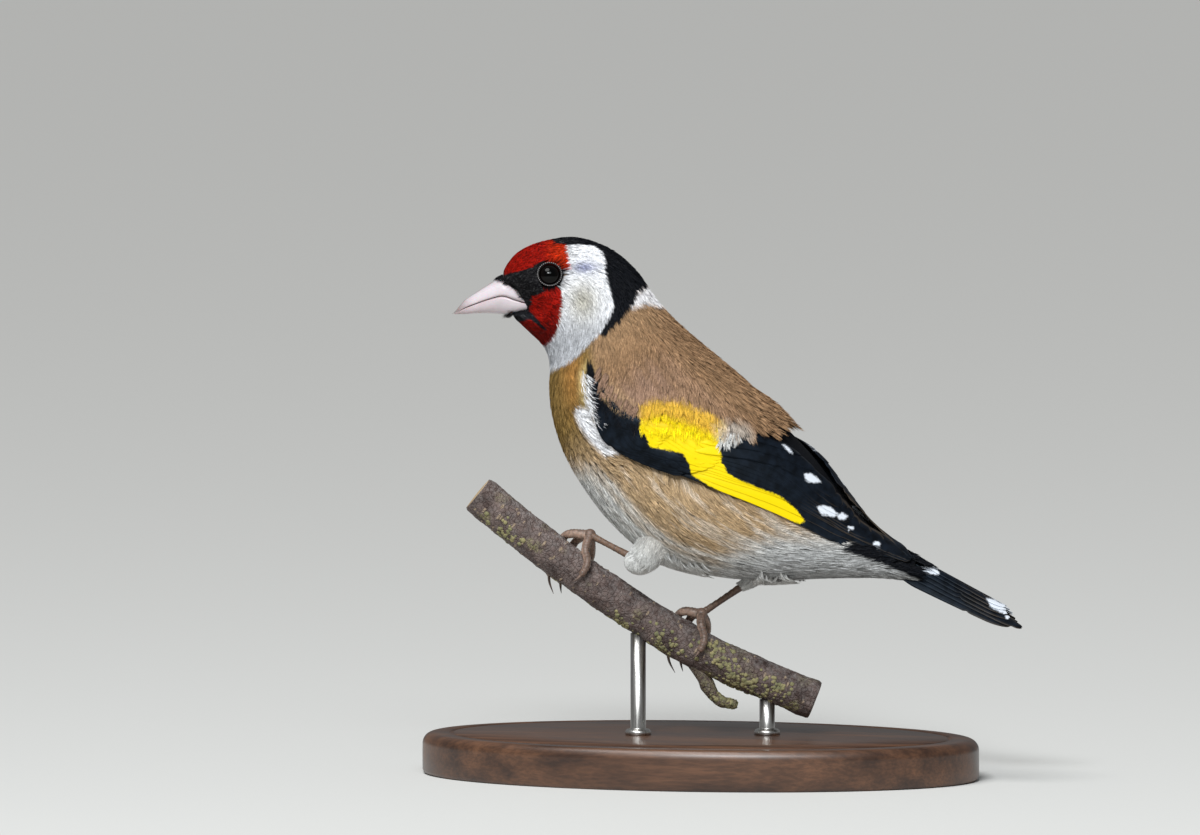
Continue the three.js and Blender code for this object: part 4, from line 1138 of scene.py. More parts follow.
# Each thigh's middle line, down to the ankle, and its radii
THIGHS = {
    "left": {
        "line": [
            (-1.0, -8.0, 54.0), (-4.5, -8.5, 49.5), (-8.2, -8.3, 44.7), (-10.3, -8.0, 42.4),
            (-12.9, -7.5, 43.1),
        ],
        "radii": (4.2, 3.9, 3.2, 2.6, 0.9),
    },
    "right": {
        "line": [
            (13.0, 6.6, 48.0), (12.0, 6.2, 45.0), (10.8, 5.7, 40.6), (9.2, 5.2, 38.0), (7.4, 4.95, 36.95),
        ],
        "radii": (4.0, 4.0, 2.6, 1.3, 0.9),
    },
}
# Each shank's upper end, and its radii there and at the foot
TARSI = {
    "left": {"from": (-12.2, -7.4, 43.3), "radii": (0.75, 0.85)},
    "right": {"from": (7.6, 5.0, 37.0), "radii": (0.7, 0.75)},
}


def thigh_chart(leg):
    """Round a thigh: place along its line from 0 to 1, degrees round it, lift from its face."""
    path = THIGHS[leg]["line"]
    radii = THIGHS[leg]["radii"]

    def place(along, angle, lift):
        along, angle, lift = np.broadcast_arrays(along, angle, lift)
        reach = np.clip(along, 0.0, 1.0)
        centre = line_through(path, reach)
        step = 0.01
        low, high = np.clip(reach - step, 0, 1), np.clip(reach + step, 0, 1)
        tangent = unit(line_through(path, high) - line_through(path, low))
        outward = np.broadcast_to(np.array([0.0, -1.0, 0.0]), tangent.shape)
        outward = unit(outward - dot(outward, tangent) * tangent)
        sideways = np.cross(outward, tangent)
        radius = line_through(radii, reach) + lift
        cos, sin = np.cos(np.radians(angle))[..., None], np.sin(np.radians(angle))[..., None]
        round_it = radius[..., None] * (cos * outward + sin * sideways)
        return centre + round_it + tangent * ((along - reach) * 3.0)[..., None]

    return place


# The white puff at the left ankle
PUFF = {"centre": (-10.3, -8.0, 42.4), "radius": 2.5, "stretch": (1.22, 1.0, 1.0)}


def puff_chart(down, angle, lift):
    """Over the white puff that hides the left ankle: share of the way down it, degrees round it."""
    down, angle, lift = np.broadcast_arrays(down, angle, lift)
    up, turn = np.pi * down, -np.radians(angle)
    flat = np.stack([np.sin(up) * np.cos(turn), np.sin(up) * np.sin(turn), np.cos(up)], axis=-1)
    return np.array(PUFF["centre"]) + (PUFF["radius"] + lift)[..., None] * flat * np.array(PUFF["stretch"])


def puff_colour(down, angle):
    """White, with a patch of bare pinkish skin low on its near side."""
    patch = near_spot(photo_place(puff_chart(down, angle, np.zeros(1))), (651, 566), 6, 7)
    return mix(TONES["belly"], TONES["rust"], 0.3 * patch[..., None])


THIGH_REACH = {"left": 0.42, "right": 0.84}  # share of a thigh's line that carries feathers
THIGH_FEATHERS = {"left": 1500, "right": 1000}
PUFF_FEATHERS = 420
LEG_BOX = ((0, 1), (0, 360))  # the range of a leg's chart


def hanging(point, along, outward, first, second):
    """Down and forward over a thigh, towards the ankle."""
    down = np.broadcast_to(np.array([-0.5, 0.0, -1.0]), point.shape)
    return unit(down - dot(down, outward) * outward)


def thigh_colour(along, angle):
    """White, with a buff tinge high on the thigh."""
    tinge = (1 - smoothstep(0.1, 0.6, along))[..., None]
    return mix(TONES["belly"], TONES["flank"], 0.35 * tinge) * np.ones((*np.shape(along), 1))


def make_thighs(finish):
    """The loose feathers of each thigh, down to the ankle."""
    for number, leg in enumerate(THIGHS):
        chart = thigh_chart(leg)
        draws = even_draws(THIGH_FEATHERS[leg], 2, SEED + 40 + number)
        along = 0.08 + THIGH_REACH[leg] * draws[:, 0]
        angle = draws[:, 1] * 360
        fade = 1 - 0.45 * smoothstep(0.55, 0.95, along)
        sizes = (4.2 * fade, 0.9 * fade, 0.7 * fade, 0.12)
        points, faces, values = barbed_feathers(
            chart, along, angle, sizes, thigh_colour, LEG_BOX, SEED + 50 + number, hanging, 0.15, 0.5
        )
        coat_of_leg = Shape().add(points, faces, **values)
        if leg == "left":
            draws = even_draws(PUFF_FEATHERS, 2, SEED + 44)
            down, angle = np.arccos(1 - 1.75 * draws[:, 0]) / np.pi, draws[:, 1] * 360
            sizes = (3.0, 1.0, 0.5, 0.1)
            points, faces, values = barbed_feathers(
                puff_chart, down, angle, sizes, puff_colour, LEG_BOX, SEED + 54, hanging, 0.1, 0.6
            )
            coat_of_leg.add(points, faces, **values)
        coat_of_leg.piece(f"coat_thigh_{leg}", finish, "plumage_body")


def make_skin(finish):
    """The body under the coat: the form lowered by the coat's depth, black as painted shade under the wings,
    with both thighs joined to it.
    """
    stations = np.linspace(0, LAST, 170)
    angles = np.linspace(-180, 180, 97)[:-1]
    t, a = np.meshgrid(stations, angles, indexing="ij")
    rings = face_and_body(t, a, -coat(COAT_DEPTH, t) * 0.95)
    covered = under_wing(t, a, 0.0)[..., None]
    # painted shade: black where the wings cover the body, so gaps by the wings read as shadow
    points, faces, values = drum(rings, marking=mix(plumage(t, a), TONES["black"], covered))
    skin = Shape().add(points, faces, **values)
    for leg in THIGHS:
        chart = thigh_chart(leg)
        along, angle = np.meshgrid(np.linspace(0, 1, 30), np.linspace(0, 360, 33)[:-1], indexing="ij")
        depth = mix(0.7, 0.25, along)
        points, faces, values = drum(chart(along, angle, -depth), marking=thigh_colour(along, angle))
        skin.add(points, faces, **values)
    return skin.piece(
        "skin", finish, "plumage_body", ("head", "neck", "torso", "rump", "thigh_left", "thigh_right")
    )


# Wings

WIDTH_STATIONS = np.linspace(RAIL_FROM, LAST, 80)


def wing_place(side, station, share, lift):
    """A point on a folded wing: station, share of the way from its outer rail to its inner one, lift."""
    outer = rail(WINGS[side]["outer"], station)
    inner = rail(WINGS[side]["inner"], station)
    return over_body(station, outer + (inner - outer) * share, lift)


def wing_width(station):
    """The distance over the body between the left wing's rails."""
    shares = np.linspace(0, 1, 9)
    t, s = np.meshgrid(WIDTH_STATIONS, shares, indexing="ij")
    steps = np.diff(wing_place("left", t, s, np.zeros_like(t)), axis=1)
    return np.interp(station, WIDTH_STATIONS, np.linalg.norm(steps, axis=-1).sum(axis=1))


# Outlines of the folded wing's yellow panel and white spots, in pixels of the photograph
YELLOW_PANEL = [
    (640, 402), (640, 428), (650, 446), (670, 451), (682, 453), (688, 463), (689, 474), (712, 488),
    (740, 501), (770, 513), (797, 523.5), (804.5, 521.5), (795, 509), (779, 496), (740, 481), (727, 474),
    (721, 463), (718, 445), (721, 431), (703, 417), (682, 410), (660, 402),
]
WHITE_MARKS = [
    [(781, 444), (784.5, 445), (788.5, 448), (792, 454), (788, 452), (783.5, 447.5)],
    [(803, 473), (809.5, 473), (816, 477), (820, 482), (813.5, 482.5), (807, 482), (804, 479)],
    [
        (815.5, 506), (822, 504.5), (831, 507.5), (835.5, 513), (833, 516.5), (827.5, 515.5), (824.5, 513),
        (822, 516), (818, 511),
    ],
    [(836, 513.5), (841, 512), (846.5, 515.5), (843, 519), (837, 518.5)],
    [(846.5, 525.5), (853, 526.5), (852, 528.8), (848.3, 528.4), (846.8, 531)],
    [(875, 540), (878.5, 542), (878.5, 546), (875, 548.2), (871.5, 546), (871.5, 542)],
]
FAR_WING_SHIFT = 0.35  # stations by which the far wing's marks lie further back

# A folded wing's feathers: root and tip station, the share of the shaft at root and tip, and the outer
# and inner web in mm.
PRIMARIES = [
    (10.0, 16.35, 0.035, 0.04, 0.5, 1.8),
    (10.0, 16.72, 0.075, 0.30, 0.7, 3.2),
    (10.0, 16.78, 0.12, 0.62, 0.8, 3.6),
    (10.0, 16.55, 0.165, 0.55, 0.8, 3.8),
    (10.0, 16.1, 0.21, 0.40, 0.8, 4.0),
    (10.0, 15.1, 0.26, 0.385, 0.85, 4.2),
    (10.0, 14.6, 0.31, 0.42, 0.85, 4.2),
    (10.0, 14.15, 0.36, 0.46, 0.85, 4.2),
    (10.0, 13.85, 0.41, 0.50, 0.85, 4.2),
]
SECONDARIES = [
    (10.0, 13.85, 0.46, 0.545, 1.0, 3.8),
    (10.0, 13.82, 0.51, 0.60, 1.0, 3.8),
    (10.0, 13.62, 0.56, 0.60, 1.0, 3.8),
    (10.0, 13.55, 0.61, 0.52, 1.0, 3.8),
    (10.0, 13.4, 0.66, 0.66, 1.1, 3.6),
    (10.0, 13.1, 0.71, 0.74, 1.2, 3.4),
]
TERTIALS = [
    (10.2, 12.68, 0.5, 0.77, 2.4, 2.8),
    (10.2, 12.3, 0.66, 0.86, 2.3, 2.4),
    (10.2, 11.85, 0.82, 0.93, 2.0, 1.9),
]
ALULA = [
    (8.5, 10.2, 0.12, 0.13, 0.8, 1.1),
    (8.5, 9.95, 0.22, 0.22, 0.8, 1.2),
    (8.5, 9.6, 0.31, 0.29, 0.8, 1.1),
]


def covert_row(count, root, tip, share, web, slant, bow=0.0, wave=0.05):
    """A row of like coverts: tips spread over a range of shares on a bowed line, roots higher by a slant."""
    row = []
    for k, p in enumerate(np.linspace(0, 1, count)):
        end = tip + bow * math.sin(math.pi * p) + wave * math.sin(7.3 * k)
        row.append((root, end, mix(*share, p) + slant, mix(*share, p), web, web))
    return row


# A folded wing's rows, the lowest layer first: the height of a row's first vane, the step from one vane
# to the next, how far a vane's outer edge lies above its inner one, and the grid of a vane.
WING_ROWS = [
    ("primaries", PRIMARIES, {"base": 0.1, "layer": 0.035, "tilt": 0.06, "rows": 56, "cols": 11}),
    ("secondaries", SECONDARIES, {"base": 0.4, "layer": 0.035, "tilt": 0.06, "rows": 44, "cols": 11}),
    ("tertials", TERTIALS, {"base": 0.64, "layer": 0.06, "tilt": 0.08, "rows": 36, "cols": 13}),
    (
        "primary coverts", covert_row(8, 9.0, 10.9, (0.03, 0.27), 1.3, 0.1, -0.1),
        {"base": 0.42, "layer": 0.03, "tilt": 0.08, "rows": 24, "cols": 9},
    ),
    (
        "greater coverts", covert_row(14, 9.4, 11.0, (0.14, 0.97), 1.9, 0.55, 0.1),
        {"base": 0.52, "layer": 0.022, "tilt": 0.05, "rows": 26, "cols": 11},
    ),
    ("alula", ALULA, {"base": 0.72, "layer": 0.06, "tilt": 0.1, "rows": 22, "cols": 9}),
    (
        "median coverts", covert_row(11, 8.9, 10.1, (0.2, 1.0), 1.7, 0.5, 0.1),
        {"base": 0.78, "layer": 0.022, "tilt": 0.05, "rows": 18, "cols": 9},
    ),
    (
        "low lesser coverts", covert_row(12, 8.4, 9.6, (0.05, 1.0), 1.5, 0.35),
        {"base": 0.86, "layer": 0.02, "tilt": 0.05, "rows": 14, "cols": 8},
    ),
    (
        "middle lesser coverts", covert_row(12, 8.0, 9.15, (0.0, 1.0), 1.4, 0.25),
        {"base": 0.9, "layer": 0.02, "tilt": 0.05, "rows": 14, "cols": 8},
    ),
    (
        "top lesser coverts", covert_row(12, 7.75, 8.8, (0.0, 1.0), 1.3, 0.15),
        {"base": 0.9, "layer": 0.02, "tilt": 0.05, "rows": 14, "cols": 8},
    ),
]
COVERTS_END = 11.5  # station before which a feather's tip marks it as a covert


def web_width(v, blunt=0.8):
    """A web's width along its feather: narrow at the quill, full, then rounded at the tip."""
    quill = 0.35 + 0.65 * smoothstep(0.0, 0.3, v)
    tip = np.sqrt(np.clip(1 - ((v - blunt) / (1 - blunt)) ** 2, 0.0, 1.0))
    return quill * np.where(v < blunt, 1.0, np.maximum(tip, 0.05))


def wing_vane(side, feather, row, number, draw):
    """One feather: its shaft runs over the chart from root to tip, its webs to either side in mm."""
    root, tip, share_root, share_tip, outer_web, inner_web = feather
    rows, cols = row["rows"], row["cols"]
    v = 1 - (1 - np.linspace(0, 1, rows)) ** 1.25
    u = np.linspace(-1, 1, cols)
    v, u = np.meshgrid(v, u, indexing="ij")
    station = mix(root, tip, v)
    shaft = mix(share_root, share_tip, smoothstep(0, 1, v))
    worn = 1 + 0.05 * grain(np.stack([v * 14 + number, np.sign(u)], axis=-1), 1.0, SEED + number)
    nick = draw.uniform(0.45, 0.93)
    depth = draw.uniform(0.0, 0.3) * (np.abs(u) > 0.5)
    worn = worn - depth * np.exp(-(((v - nick) / 0.012) ** 2))
    mm = np.where(u < 0, u * outer_web, u * inner_web) * web_width(v, 0.86 if tip > 13 else 0.74) * worn
    share = np.clip(shaft + mm / wing_width(station), -0.01, 0.992)
    sunk = 1.3 * (1 - smoothstep(0.0, 0.45 if tip < COVERTS_END else 0.2, v))
    bow = 0.07 * (1 - u**2) + 0.02 * np.exp(-((u / 0.12) ** 2))
    lift = row["base"] + row["layer"] * number - row["tilt"] * u + bow - sunk
    lift -= 0.75 * (1 - smoothstep(0.0, 0.13, 1 - share)) * (1 - smoothstep(12.0, 13.0, station))
    lift -= 0.6 * (1 - smoothstep(7.9, 8.9, station))
    lift -= 0.2 * smoothstep(0.7, 1.0, v) * (tip < COVERTS_END)
    points = wing_place(side, station, share, lift)
    length = np.linalg.norm(np.diff(points[:, cols // 2], axis=0), axis=-1).sum()
    along_mm = v * length
    back = FAR_WING_SHIFT * smoothstep(10.8, 12.2, station) * (side == "right")
    seen = photo_place(wing_place("left", station - back, share, lift))
    yellow = inside(seen, YELLOW_PANEL) + draw.normal(0, 0.16)
    white_field = np.max([inside(seen, outline) for outline in WHITE_MARKS], axis=0)
    warm = smoothstep(436, 414, seen[..., 1]) * smoothstep(735, 700, seen[..., 0])
    edge = smoothstep(0.82, 0.95, np.abs(u)) * 0.6 * smoothstep(12.6, 13.6, station)
    flat = {
        "VaneUV": np.stack([mm, along_mm], axis=-1).reshape(-1, 2),
        "yellow": yellow.ravel(),
        "white": white_field.ravel(),
        "warm": warm.ravel(),
        "dusk": edge.ravel(),
    }
    return points, [grid_faces(rows, cols, flipped=(side == "right"))], flat


def thickened(piece, thick):
    """Gives a piece of open vanes its thickness, inwards from the outer face."""
    solid = piece.modifiers.new("thickness", "SOLIDIFY")
    solid.thickness = thick * MM
    solid.offset = -1
    return piece


def make_wing(side, finish):
    """A folded wing, feather by feather, row by row."""
    wing = Shape()
    for order, (_, feathers, row) in enumerate(WING_ROWS):
        draw = np.random.default_rng(SEED + order)
        for number, feather in enumerate(feathers):
            points, faces, values = wing_vane(side, feather, row, number, draw)
            wing.add(points, faces, **values)
    made = wing.piece(f"vanes_wing_{side}", finish, "wing_feathers", (f"wing_{side}",))
    return thickened(made, 0.06)


# Tail

# The tail: x and z of its root and its slope; its pairs of feathers and how far they run on inside the
# body; the lengths of the central and the outermost ones, and the pair, side and extra length of the one
# that stands out; half width and arch at root and tip; a vane's half width and the step between layers
TAIL = {
    "root": (42.3, 43.75), "slope": math.radians(27.5), "pairs": 6, "inside": 5.0,
    "central": 20.6, "longest": 23.4, "worn": (4, -1, 2.6),
    "root_half": 3.4, "tip_half": 5.2, "arch_root": 3.1, "arch_tip": 1.3, "vane": 1.7, "layer": 0.3,
}
# Outlines of the tail's white marks, in pixels of the photograph
TAIL_MARKS = [
    [(984, 597), (992, 598), (1003, 605), (1009, 612), (998, 611), (988, 606)],
    [(919, 566), (929, 566), (938, 571), (937, 574), (927, 573), (920, 570)],
    [(927, 560), (934, 561), (943, 567), (938, 568), (930, 564)],
]


def tail_place(along, side, over):
    """A point of the tail: mm along its slope, mm to the side, mm over the arch of its feathers."""
    share = along / TAIL["longest"]
    half = mix(TAIL["root_half"], TAIL["tip_half"], share)
    droop = mix(TAIL["arch_root"], TAIL["arch_tip"], share) * (side / half) ** 2
    normal = over - droop
    cos, sin = math.cos(TAIL["slope"]), math.sin(TAIL["slope"])
    x = TAIL["root"][0] + along * cos + normal * sin
    z = TAIL["root"][1] - along * sin + normal * cos
    return np.stack([x, side, z], axis=-1)


def tail_vane(pair, side, draw):
    """One tail feather; pair 0 lies on top in the middle and the last pair lowest at the edge."""
    share = pair / (TAIL["pairs"] - 1)
    worn_pair, worn_side, extra = TAIL["worn"]
    length = mix(TAIL["central"], TAIL["longest"], share)
    if (pair, side) == (worn_pair, worn_side):
        length += extra
    rows, cols = 48, 11
    v, u = np.meshgrid(1 - (1 - np.linspace(0, 1, rows)) ** 1.3, np.linspace(-1, 1, cols), indexing="ij")
    mm = mix(-TAIL["inside"], length, v)
    reach = np.clip(mm / length, 0, None)
    shaft_root = mix(0.2, TAIL["root_half"] - 0.9, share)
    shaft_tip = mix(0.7, TAIL["tip_half"] - 1.1, share)
    shaft = side * mix(shaft_root, shaft_tip, reach)
    nick = draw.uniform(0.5, 0.95)
    worn = 1 - draw.uniform(0.1, 0.35) * (np.abs(u) > 0.5) * np.exp(-(((v - nick) / 0.012) ** 2))
    width = TAIL["vane"] * (0.6 + 0.4 * reach) * web_width(v, 0.84) * worn
    slip = 0.8 * np.abs(u) * smoothstep(0.9, 1.0, v) * draw.uniform(-0.6, 1.0)
    bow = 0.07 * (1 - u**2) + 0.05 * np.exp(-((u / 0.12) ** 2))
    over = -TAIL["layer"] * pair + bow - 0.09 * u * side
    points = tail_place(mm - slip, shaft + u * width, over)
    seen = photo_place(points * np.array([1, -side, 1]))
    white = np.max([inside(seen, outline) for outline in TAIL_MARKS], axis=0)
    tip_mark = 0.9 * (1 - 0.3 * np.abs(u)) - (length - mm) + draw.normal(0, 0.2)
    white = np.maximum(white, np.where(pair < 4, tip_mark, -9.0))
    inner = smoothstep(0.15, 0.4, -u * side) * smoothstep(0.3, 0.4, v) * smoothstep(0.85, 0.7, v)
    white = np.maximum(white, np.where(pair > 3, inner - 0.5, -9.0))
    values = {
        "VaneUV": np.stack([u * width, mm], axis=-1).reshape(-1, 2),
        "yellow": np.full(v.size, -9.0),
        "white": white.ravel(),
        "warm": np.zeros(v.size),
        "dusk": (0.4 * smoothstep(0.7, 1.0, np.abs(u)) * smoothstep(0.5, 0.9, v)).ravel(),
    }
    return points, [grid_faces(rows, cols)], values


def make_tail(finish):
    """Six pairs of tail feathers, fanned a little and overlapping."""
    tail = Shape()
    draw = np.random.default_rng(SEED + 90)
    for pair in range(TAIL["pairs"]):
        for side in (1, -1):
            points, faces, values = tail_vane(pair, side, draw)
            tail.add(points, faces, **values)
    return thickened(tail.piece("vanes_tail", finish, "tail_feathers", ("tail",)), 0.08)


# Bill and eyes

# The bill: x and z of its tip, and mm at equal steps from there to the face: the heights of its ridge,
# its mouth line and its keel, and its half width
BILL = {
    "tip": (-48.8, 90.0), "step": 2.5, "length": 15.0,
    "culmen": (0, 2.7, 4.4, 6.0, 7.5, 8.7, 9.6),
    "tomium": (0, 1.2, 2.2, 3.1, 3.65, 2.9, 2.3),
    "keel": (0, 0, 0.15, 0.15, -0.05, -0.1, 0.4),
    "half": (0.1, 1.0, 1.8, 2.5, 3.1, 3.65, 4.3),
}
# Tones of the horn
HORN = {
    "ivory": linear(200, 190, 194), "edge": linear(170, 146, 150), "tip": linear(88, 68, 58),
    "ridge": linear(110, 92, 86), "lower": linear(190, 170, 172),
}
ARCH = 0.62  # share of a section's points on its arch; the rest run back along the mouth
# The nostril: mm from the tip, mm above it, its radius and its depth
NOSTRIL = {"along": 10.6, "height": 6.1, "radius": 0.5, "depth": 0.45}
MOUTH_GAP = 0.12


def bill_place(along, across, height):
    """A point of the bill, turned with the head."""
    x = BILL["tip"][0] + along - NECK_X
    cos, sin = math.cos(HEAD_TURN), math.sin(HEAD_TURN)
    turned_x, turned_y = NECK_X + x * cos - across * sin, x * sin + across * cos
    return np.stack([turned_x, turned_y, BILL["tip"][1] + height], axis=-1)


def bill_track(name, along):
    """One of the bill's heights or its half width, at mm from its tip."""
    values = BILL[name]
    return line_through(values, along / (BILL["step"] * (len(values) - 1)), mirrored=False)


def mandible(upper):
    """Half the bill: an arched section over a slightly hollow mouth line, carried from tip to face."""
    start = 0.06 if upper else 0.5
    stops = mix(start, BILL["length"], np.linspace(0, 1, 90) ** 1.15)
    along, turn = np.meshgrid(stops, np.linspace(0, 1, 48, endpoint=False), indexing="ij")
    mouth = bill_track("tomium", along) + (MOUTH_GAP if upper else -MOUTH_GAP) / 2
    far = bill_track("culmen" if upper else "keel", along)
    half = bill_track("half", along) * (0.99 if upper else 0.95)
    arched = turn < ARCH
    angle = np.pi * turn / ARCH
    back = (turn - ARCH) / (1 - ARCH)
    across = np.where(arched, half * np.cos(angle), half * (2 * back - 1))
    ridge = np.sin(np.clip(angle, 0, np.pi)) ** (0.86 if upper else 0.8)
    hollow = (0.35 if upper else -0.35) * (1 - (2 * back - 1) ** 2) * np.minimum(1, half)
    height = mouth + np.where(arched, (far - mouth) * ridge, hollow)
    if upper:
        from_bore = np.hypot(along - NOSTRIL["along"], height - NOSTRIL["height"]) / NOSTRIL["radius"]
        bore = np.exp(-1.4 * from_bore**2)
        across = across - np.sign(across) * NOSTRIL["depth"] * bore * arched
    ivory = np.broadcast_to(HORN["ivory"], (*along.shape, 3))
    rim = np.exp(-(((height - mouth) / 0.35) ** 2)) * smoothstep(1.0, 3.0, along)
    colour = mix(ivory, HORN["edge"], (0.6 * rim)[..., None])
    tip = 1 - smoothstep(0.2, 4.6, along)
    colour = mix(colour, HORN["tip"], (0.8 * tip)[..., None])
    if upper:
        crest = smoothstep(0.93, 1.0, np.sin(np.clip(angle, 0, np.pi)))
        culmen = crest * (1 - smoothstep(7, 13, along)) * arched
        colour = mix(colour, HORN["ridge"], (0.6 * culmen)[..., None])
        # painted shade: the horn is darkened inside the nostril's pit
        colour = colour * (1 - 0.85 * bore * arched)[..., None]
    else:
        colour = mix(colour, HORN["lower"], (0.5 * (1 - smoothstep(5, 12, along)))[..., None])
    return drum(bill_place(along, across, height), horn=colour)


def make_bill(finish):
    """The two halves of the bill."""
    for name, upper in (("bill_horn_upper", True), ("bill_horn_lower", False)):
        points, faces, values = mandible(upper)
        node = "bill_upper" if upper else "bill_lower"
        Shape().add(points, faces, **values).piece(name, finish, "bill_horn", (node,))


def ring_frame(outward):
    """Two directions at right angles to an outward one."""
    first = unit(np.cross(outward, np.array([0.0, 0.0, 1.0])))
    return first, np.cross(outward, first)


def make_eyes(eye, rim):
    """Round wet eyes, each with a rim of small pale beads over a dark lid."""
    for side, name in ((1, "left"), (-1, "right")):
        at, outward = eye_frame(side)
        first, second = ring_frame(outward)
        centre = at - outward * EYE["sunk"]
        turn, up = np.meshgrid(all_round(64), np.linspace(0, np.pi, 42)[1:-1])
        bulge = EYE["radius"] * (1 + 0.03 * np.exp(-((up / 0.6) ** 2)))
        flat = np.cos(turn)[..., None] * first + np.sin(turn)[..., None] * second
        rings = centre + bulge[..., None] * (np.sin(up)[..., None] * flat + np.cos(up)[..., None] * outward)
        iris = smoothstep(0.42, 0.5, up) * (1 - smoothstep(1.2, 1.4, up))
        points, faces, values = drum(rings, iris=iris)
        Shape().add(points, faces, **values).piece(f"eyeball_{name}", eye, "eye", (f"eye_{name}",))
        make_rim(f"eye_rim_{name}", at, outward, first, second, rim)


BEADS = 36
# The eye's rim: its radius, the radii of the lid's ring and of a bead, and how far it stands out
RIM = {"radius": 2.24, "tube": 0.19, "bead": 0.085, "out": 0.1}


def make_rim(name, at, outward, first, second, finish):
    """A dark lid as a thin ring, and a ring of beads along its crest."""
    turn, around = np.meshgrid(all_round(152), all_round(12), indexing="ij")
    flat = np.cos(turn)[..., None] * first + np.sin(turn)[..., None] * second
    tube = RIM["tube"] * (1 + 0.12 * np.cos(turn * BEADS))
    reach = RIM["radius"] + tube * np.cos(around)
    lid = at + flat * reach[..., None] + outward * (RIM["out"] + tube * np.sin(around))[..., None]
    rows, cols = lid.shape[:2]
    quads = grid_faces(rows + 1, cols, joined=True) % (rows * cols)
    dark = np.broadcast_to(linear(12, 11, 12), (rows * cols, 3))
    rim = Shape().add(lid.reshape(-1, 3), [quads[:, ::-1]], bare=dark)
    angles = all_round(BEADS)
    crest = np.cos(angles)[:, None] * first + np.sin(angles)[:, None] * second
    centres = at + crest * (RIM["radius"] + 0.09) + outward * (RIM["out"] + 0.14)
    bead_points, bead_faces, _ = ball((0, 0, 0), RIM["bead"], 5, 8)
    count = len(bead_points)
    points = (centres[:, None] + bead_points * np.array([1.1, 1.1, 1.0])).reshape(-1, 3)
    pale = np.broadcast_to(linear(176, 172, 170), (len(points), 3))
    offsets = np.arange(BEADS)[:, None, None] * count
    rim.add(points, [(offsets + block).reshape(-1, block.shape[1]) for block in bead_faces], bare=pale)
    rim.piece(name, finish, "plumage_head")


BRISTLES = 1300
BRISTLE_ANGLES = (0, 25, 50, 80, 118, 145, 180)  # degrees round the bill from its ridge
BRISTLE_LINE = (8.9, 9.4, 10.5, 12.9, 14.4, 11.6, 10.6)  # mm from the tip where the bristles end on the horn


def bill_chart(back, angle, lift):
    """Round the bill: mm forward from its root, degrees from its ridge, mm off its face."""
    back, angle, lift = np.broadcast_arrays(back, angle, lift)
    along = BILL["length"] - back
    top, low = bill_track("culmen", along), bill_track("keel", along)
    tall = (top - low) / 2 + 0.08 + lift
    wide = bill_track("half", along) + 0.08 + lift
    cos, sin = np.cos(np.radians(angle)), np.sin(np.radians(angle))
    across = -wide * np.sign(sin) * np.abs(sin) ** 0.9
    return bill_place(along, across, (top + low) / 2 + tall * cos)


def make_bristles(finish):
    """Short dark bristles from the face's edge, lying forward over the root of the bill."""
    draws = even_draws(BRISTLES, 2, SEED + 7)
    angle = draws[:, 0] * 2 - 1
    angle = 180 * np.sign(angle) * np.abs(angle) ** 1.2
    line = np.interp(np.abs(angle), BRISTLE_ANGLES, BRISTLE_LINE)
    back = BILL["length"] - line - 0.2 - 1.1 * draws[:, 1]
    draw = np.random.default_rng(SEED + 6)
    reach = draw.uniform(0.9, 1.9, len(back))
    ridge = 1 - smoothstep(25, 60, np.abs(angle))
    chin = smoothstep(130, 165, np.abs(angle))
    rise = 0.12 + ridge * draw.uniform(0.0, 0.3, len(back))
    rise += chin * draw.uniform(0.0, 0.7, len(back))

    def colours(first, second):
        return np.broadcast_to(TONES["lore"], (*first.shape, 3))

    points, faces, values = barbed_feathers(
        bill_chart, back, angle, (reach, 0.4, 0.3, 0.036), colours, ((-4, 8), (-180, 180)), SEED + 8,
        top=rise, clump=0.0, spread_by=0.25, look=SINGLE_HAIRS,
    )
    Shape().add(points, faces, **values).piece("coat_bill_base", finish, "plumage_head")


# Perch, feet and stand

# The branch's middle line from its left end, and the line and radii of the twig's stub below it
PERCH_LINE = [
    (-42.6, -8.0, 55.1), (-32.6, -5.9, 46.8), (-19.3, -3.1, 36.7), (-1.2, 0.8, 25.0), (17.0, 4.6, 16.7),
    (21.7, 5.6, 14.8),
]
PERCH_RADIUS = 3.85
TWIG_LINE = [(-1.5, 0.6, 23.5), (0.9, 1.2, 18.3), (3.2, 1.9, 14.9), (6.6, 2.4, 13.9)]
TWIG_RADII = (1.8, 1.5, 1.2, 1.0)
# Where each foot's hub stands: mm along the perch and mm above its middle
FEET = {"left": {"along": 22.3, "rise": 7.4}, "right": {"along": 49.8, "rise": 6.5}}
HUB_RADIUS = 1.25
# Each toe's stops: mm along the perch from the hub, degrees round it from its top, mm from its middle
TOES = {
    "hind": [(0.9, 32, 5.6), (2.4, 48, 5.0), (3.1, 68, 4.95), (3.0, 96, 4.75), (2.3, 124, 4.6)],
    "inner": [(-3.3, -8, 5.1), (-3.6, -60, 5.0), (-2.6, -110, 5.0), (-1.0, -150, 5.3), (1.2, -176, 6.2)],
    "middle": [(-1.3, -25, 5.4), (-0.9, -72, 5.0), (0.3, -118, 5.0), (1.4, -146, 5.0), (2.4, -164, 5.5)],
    "outer": [(2.0, -18, 5.5), (3.2, -52, 5.0), (3.9, -94, 5.0), (4.3, -122, 4.9), (4.6, -140, 5.2)],
}
CLAW_FROM = 0.72  # share of a toe's line where its claw starts
# Tones of toes, shanks and claws
LEG_TONES = {
    "toe": linear(112, 91, 79), "pad": linear(158, 132, 116),
    "shank": linear(114, 90, 74), "shank_back": linear(98, 78, 68),
    "claw": linear(128, 108, 96), "claw_tip": linear(70, 60, 56),
}

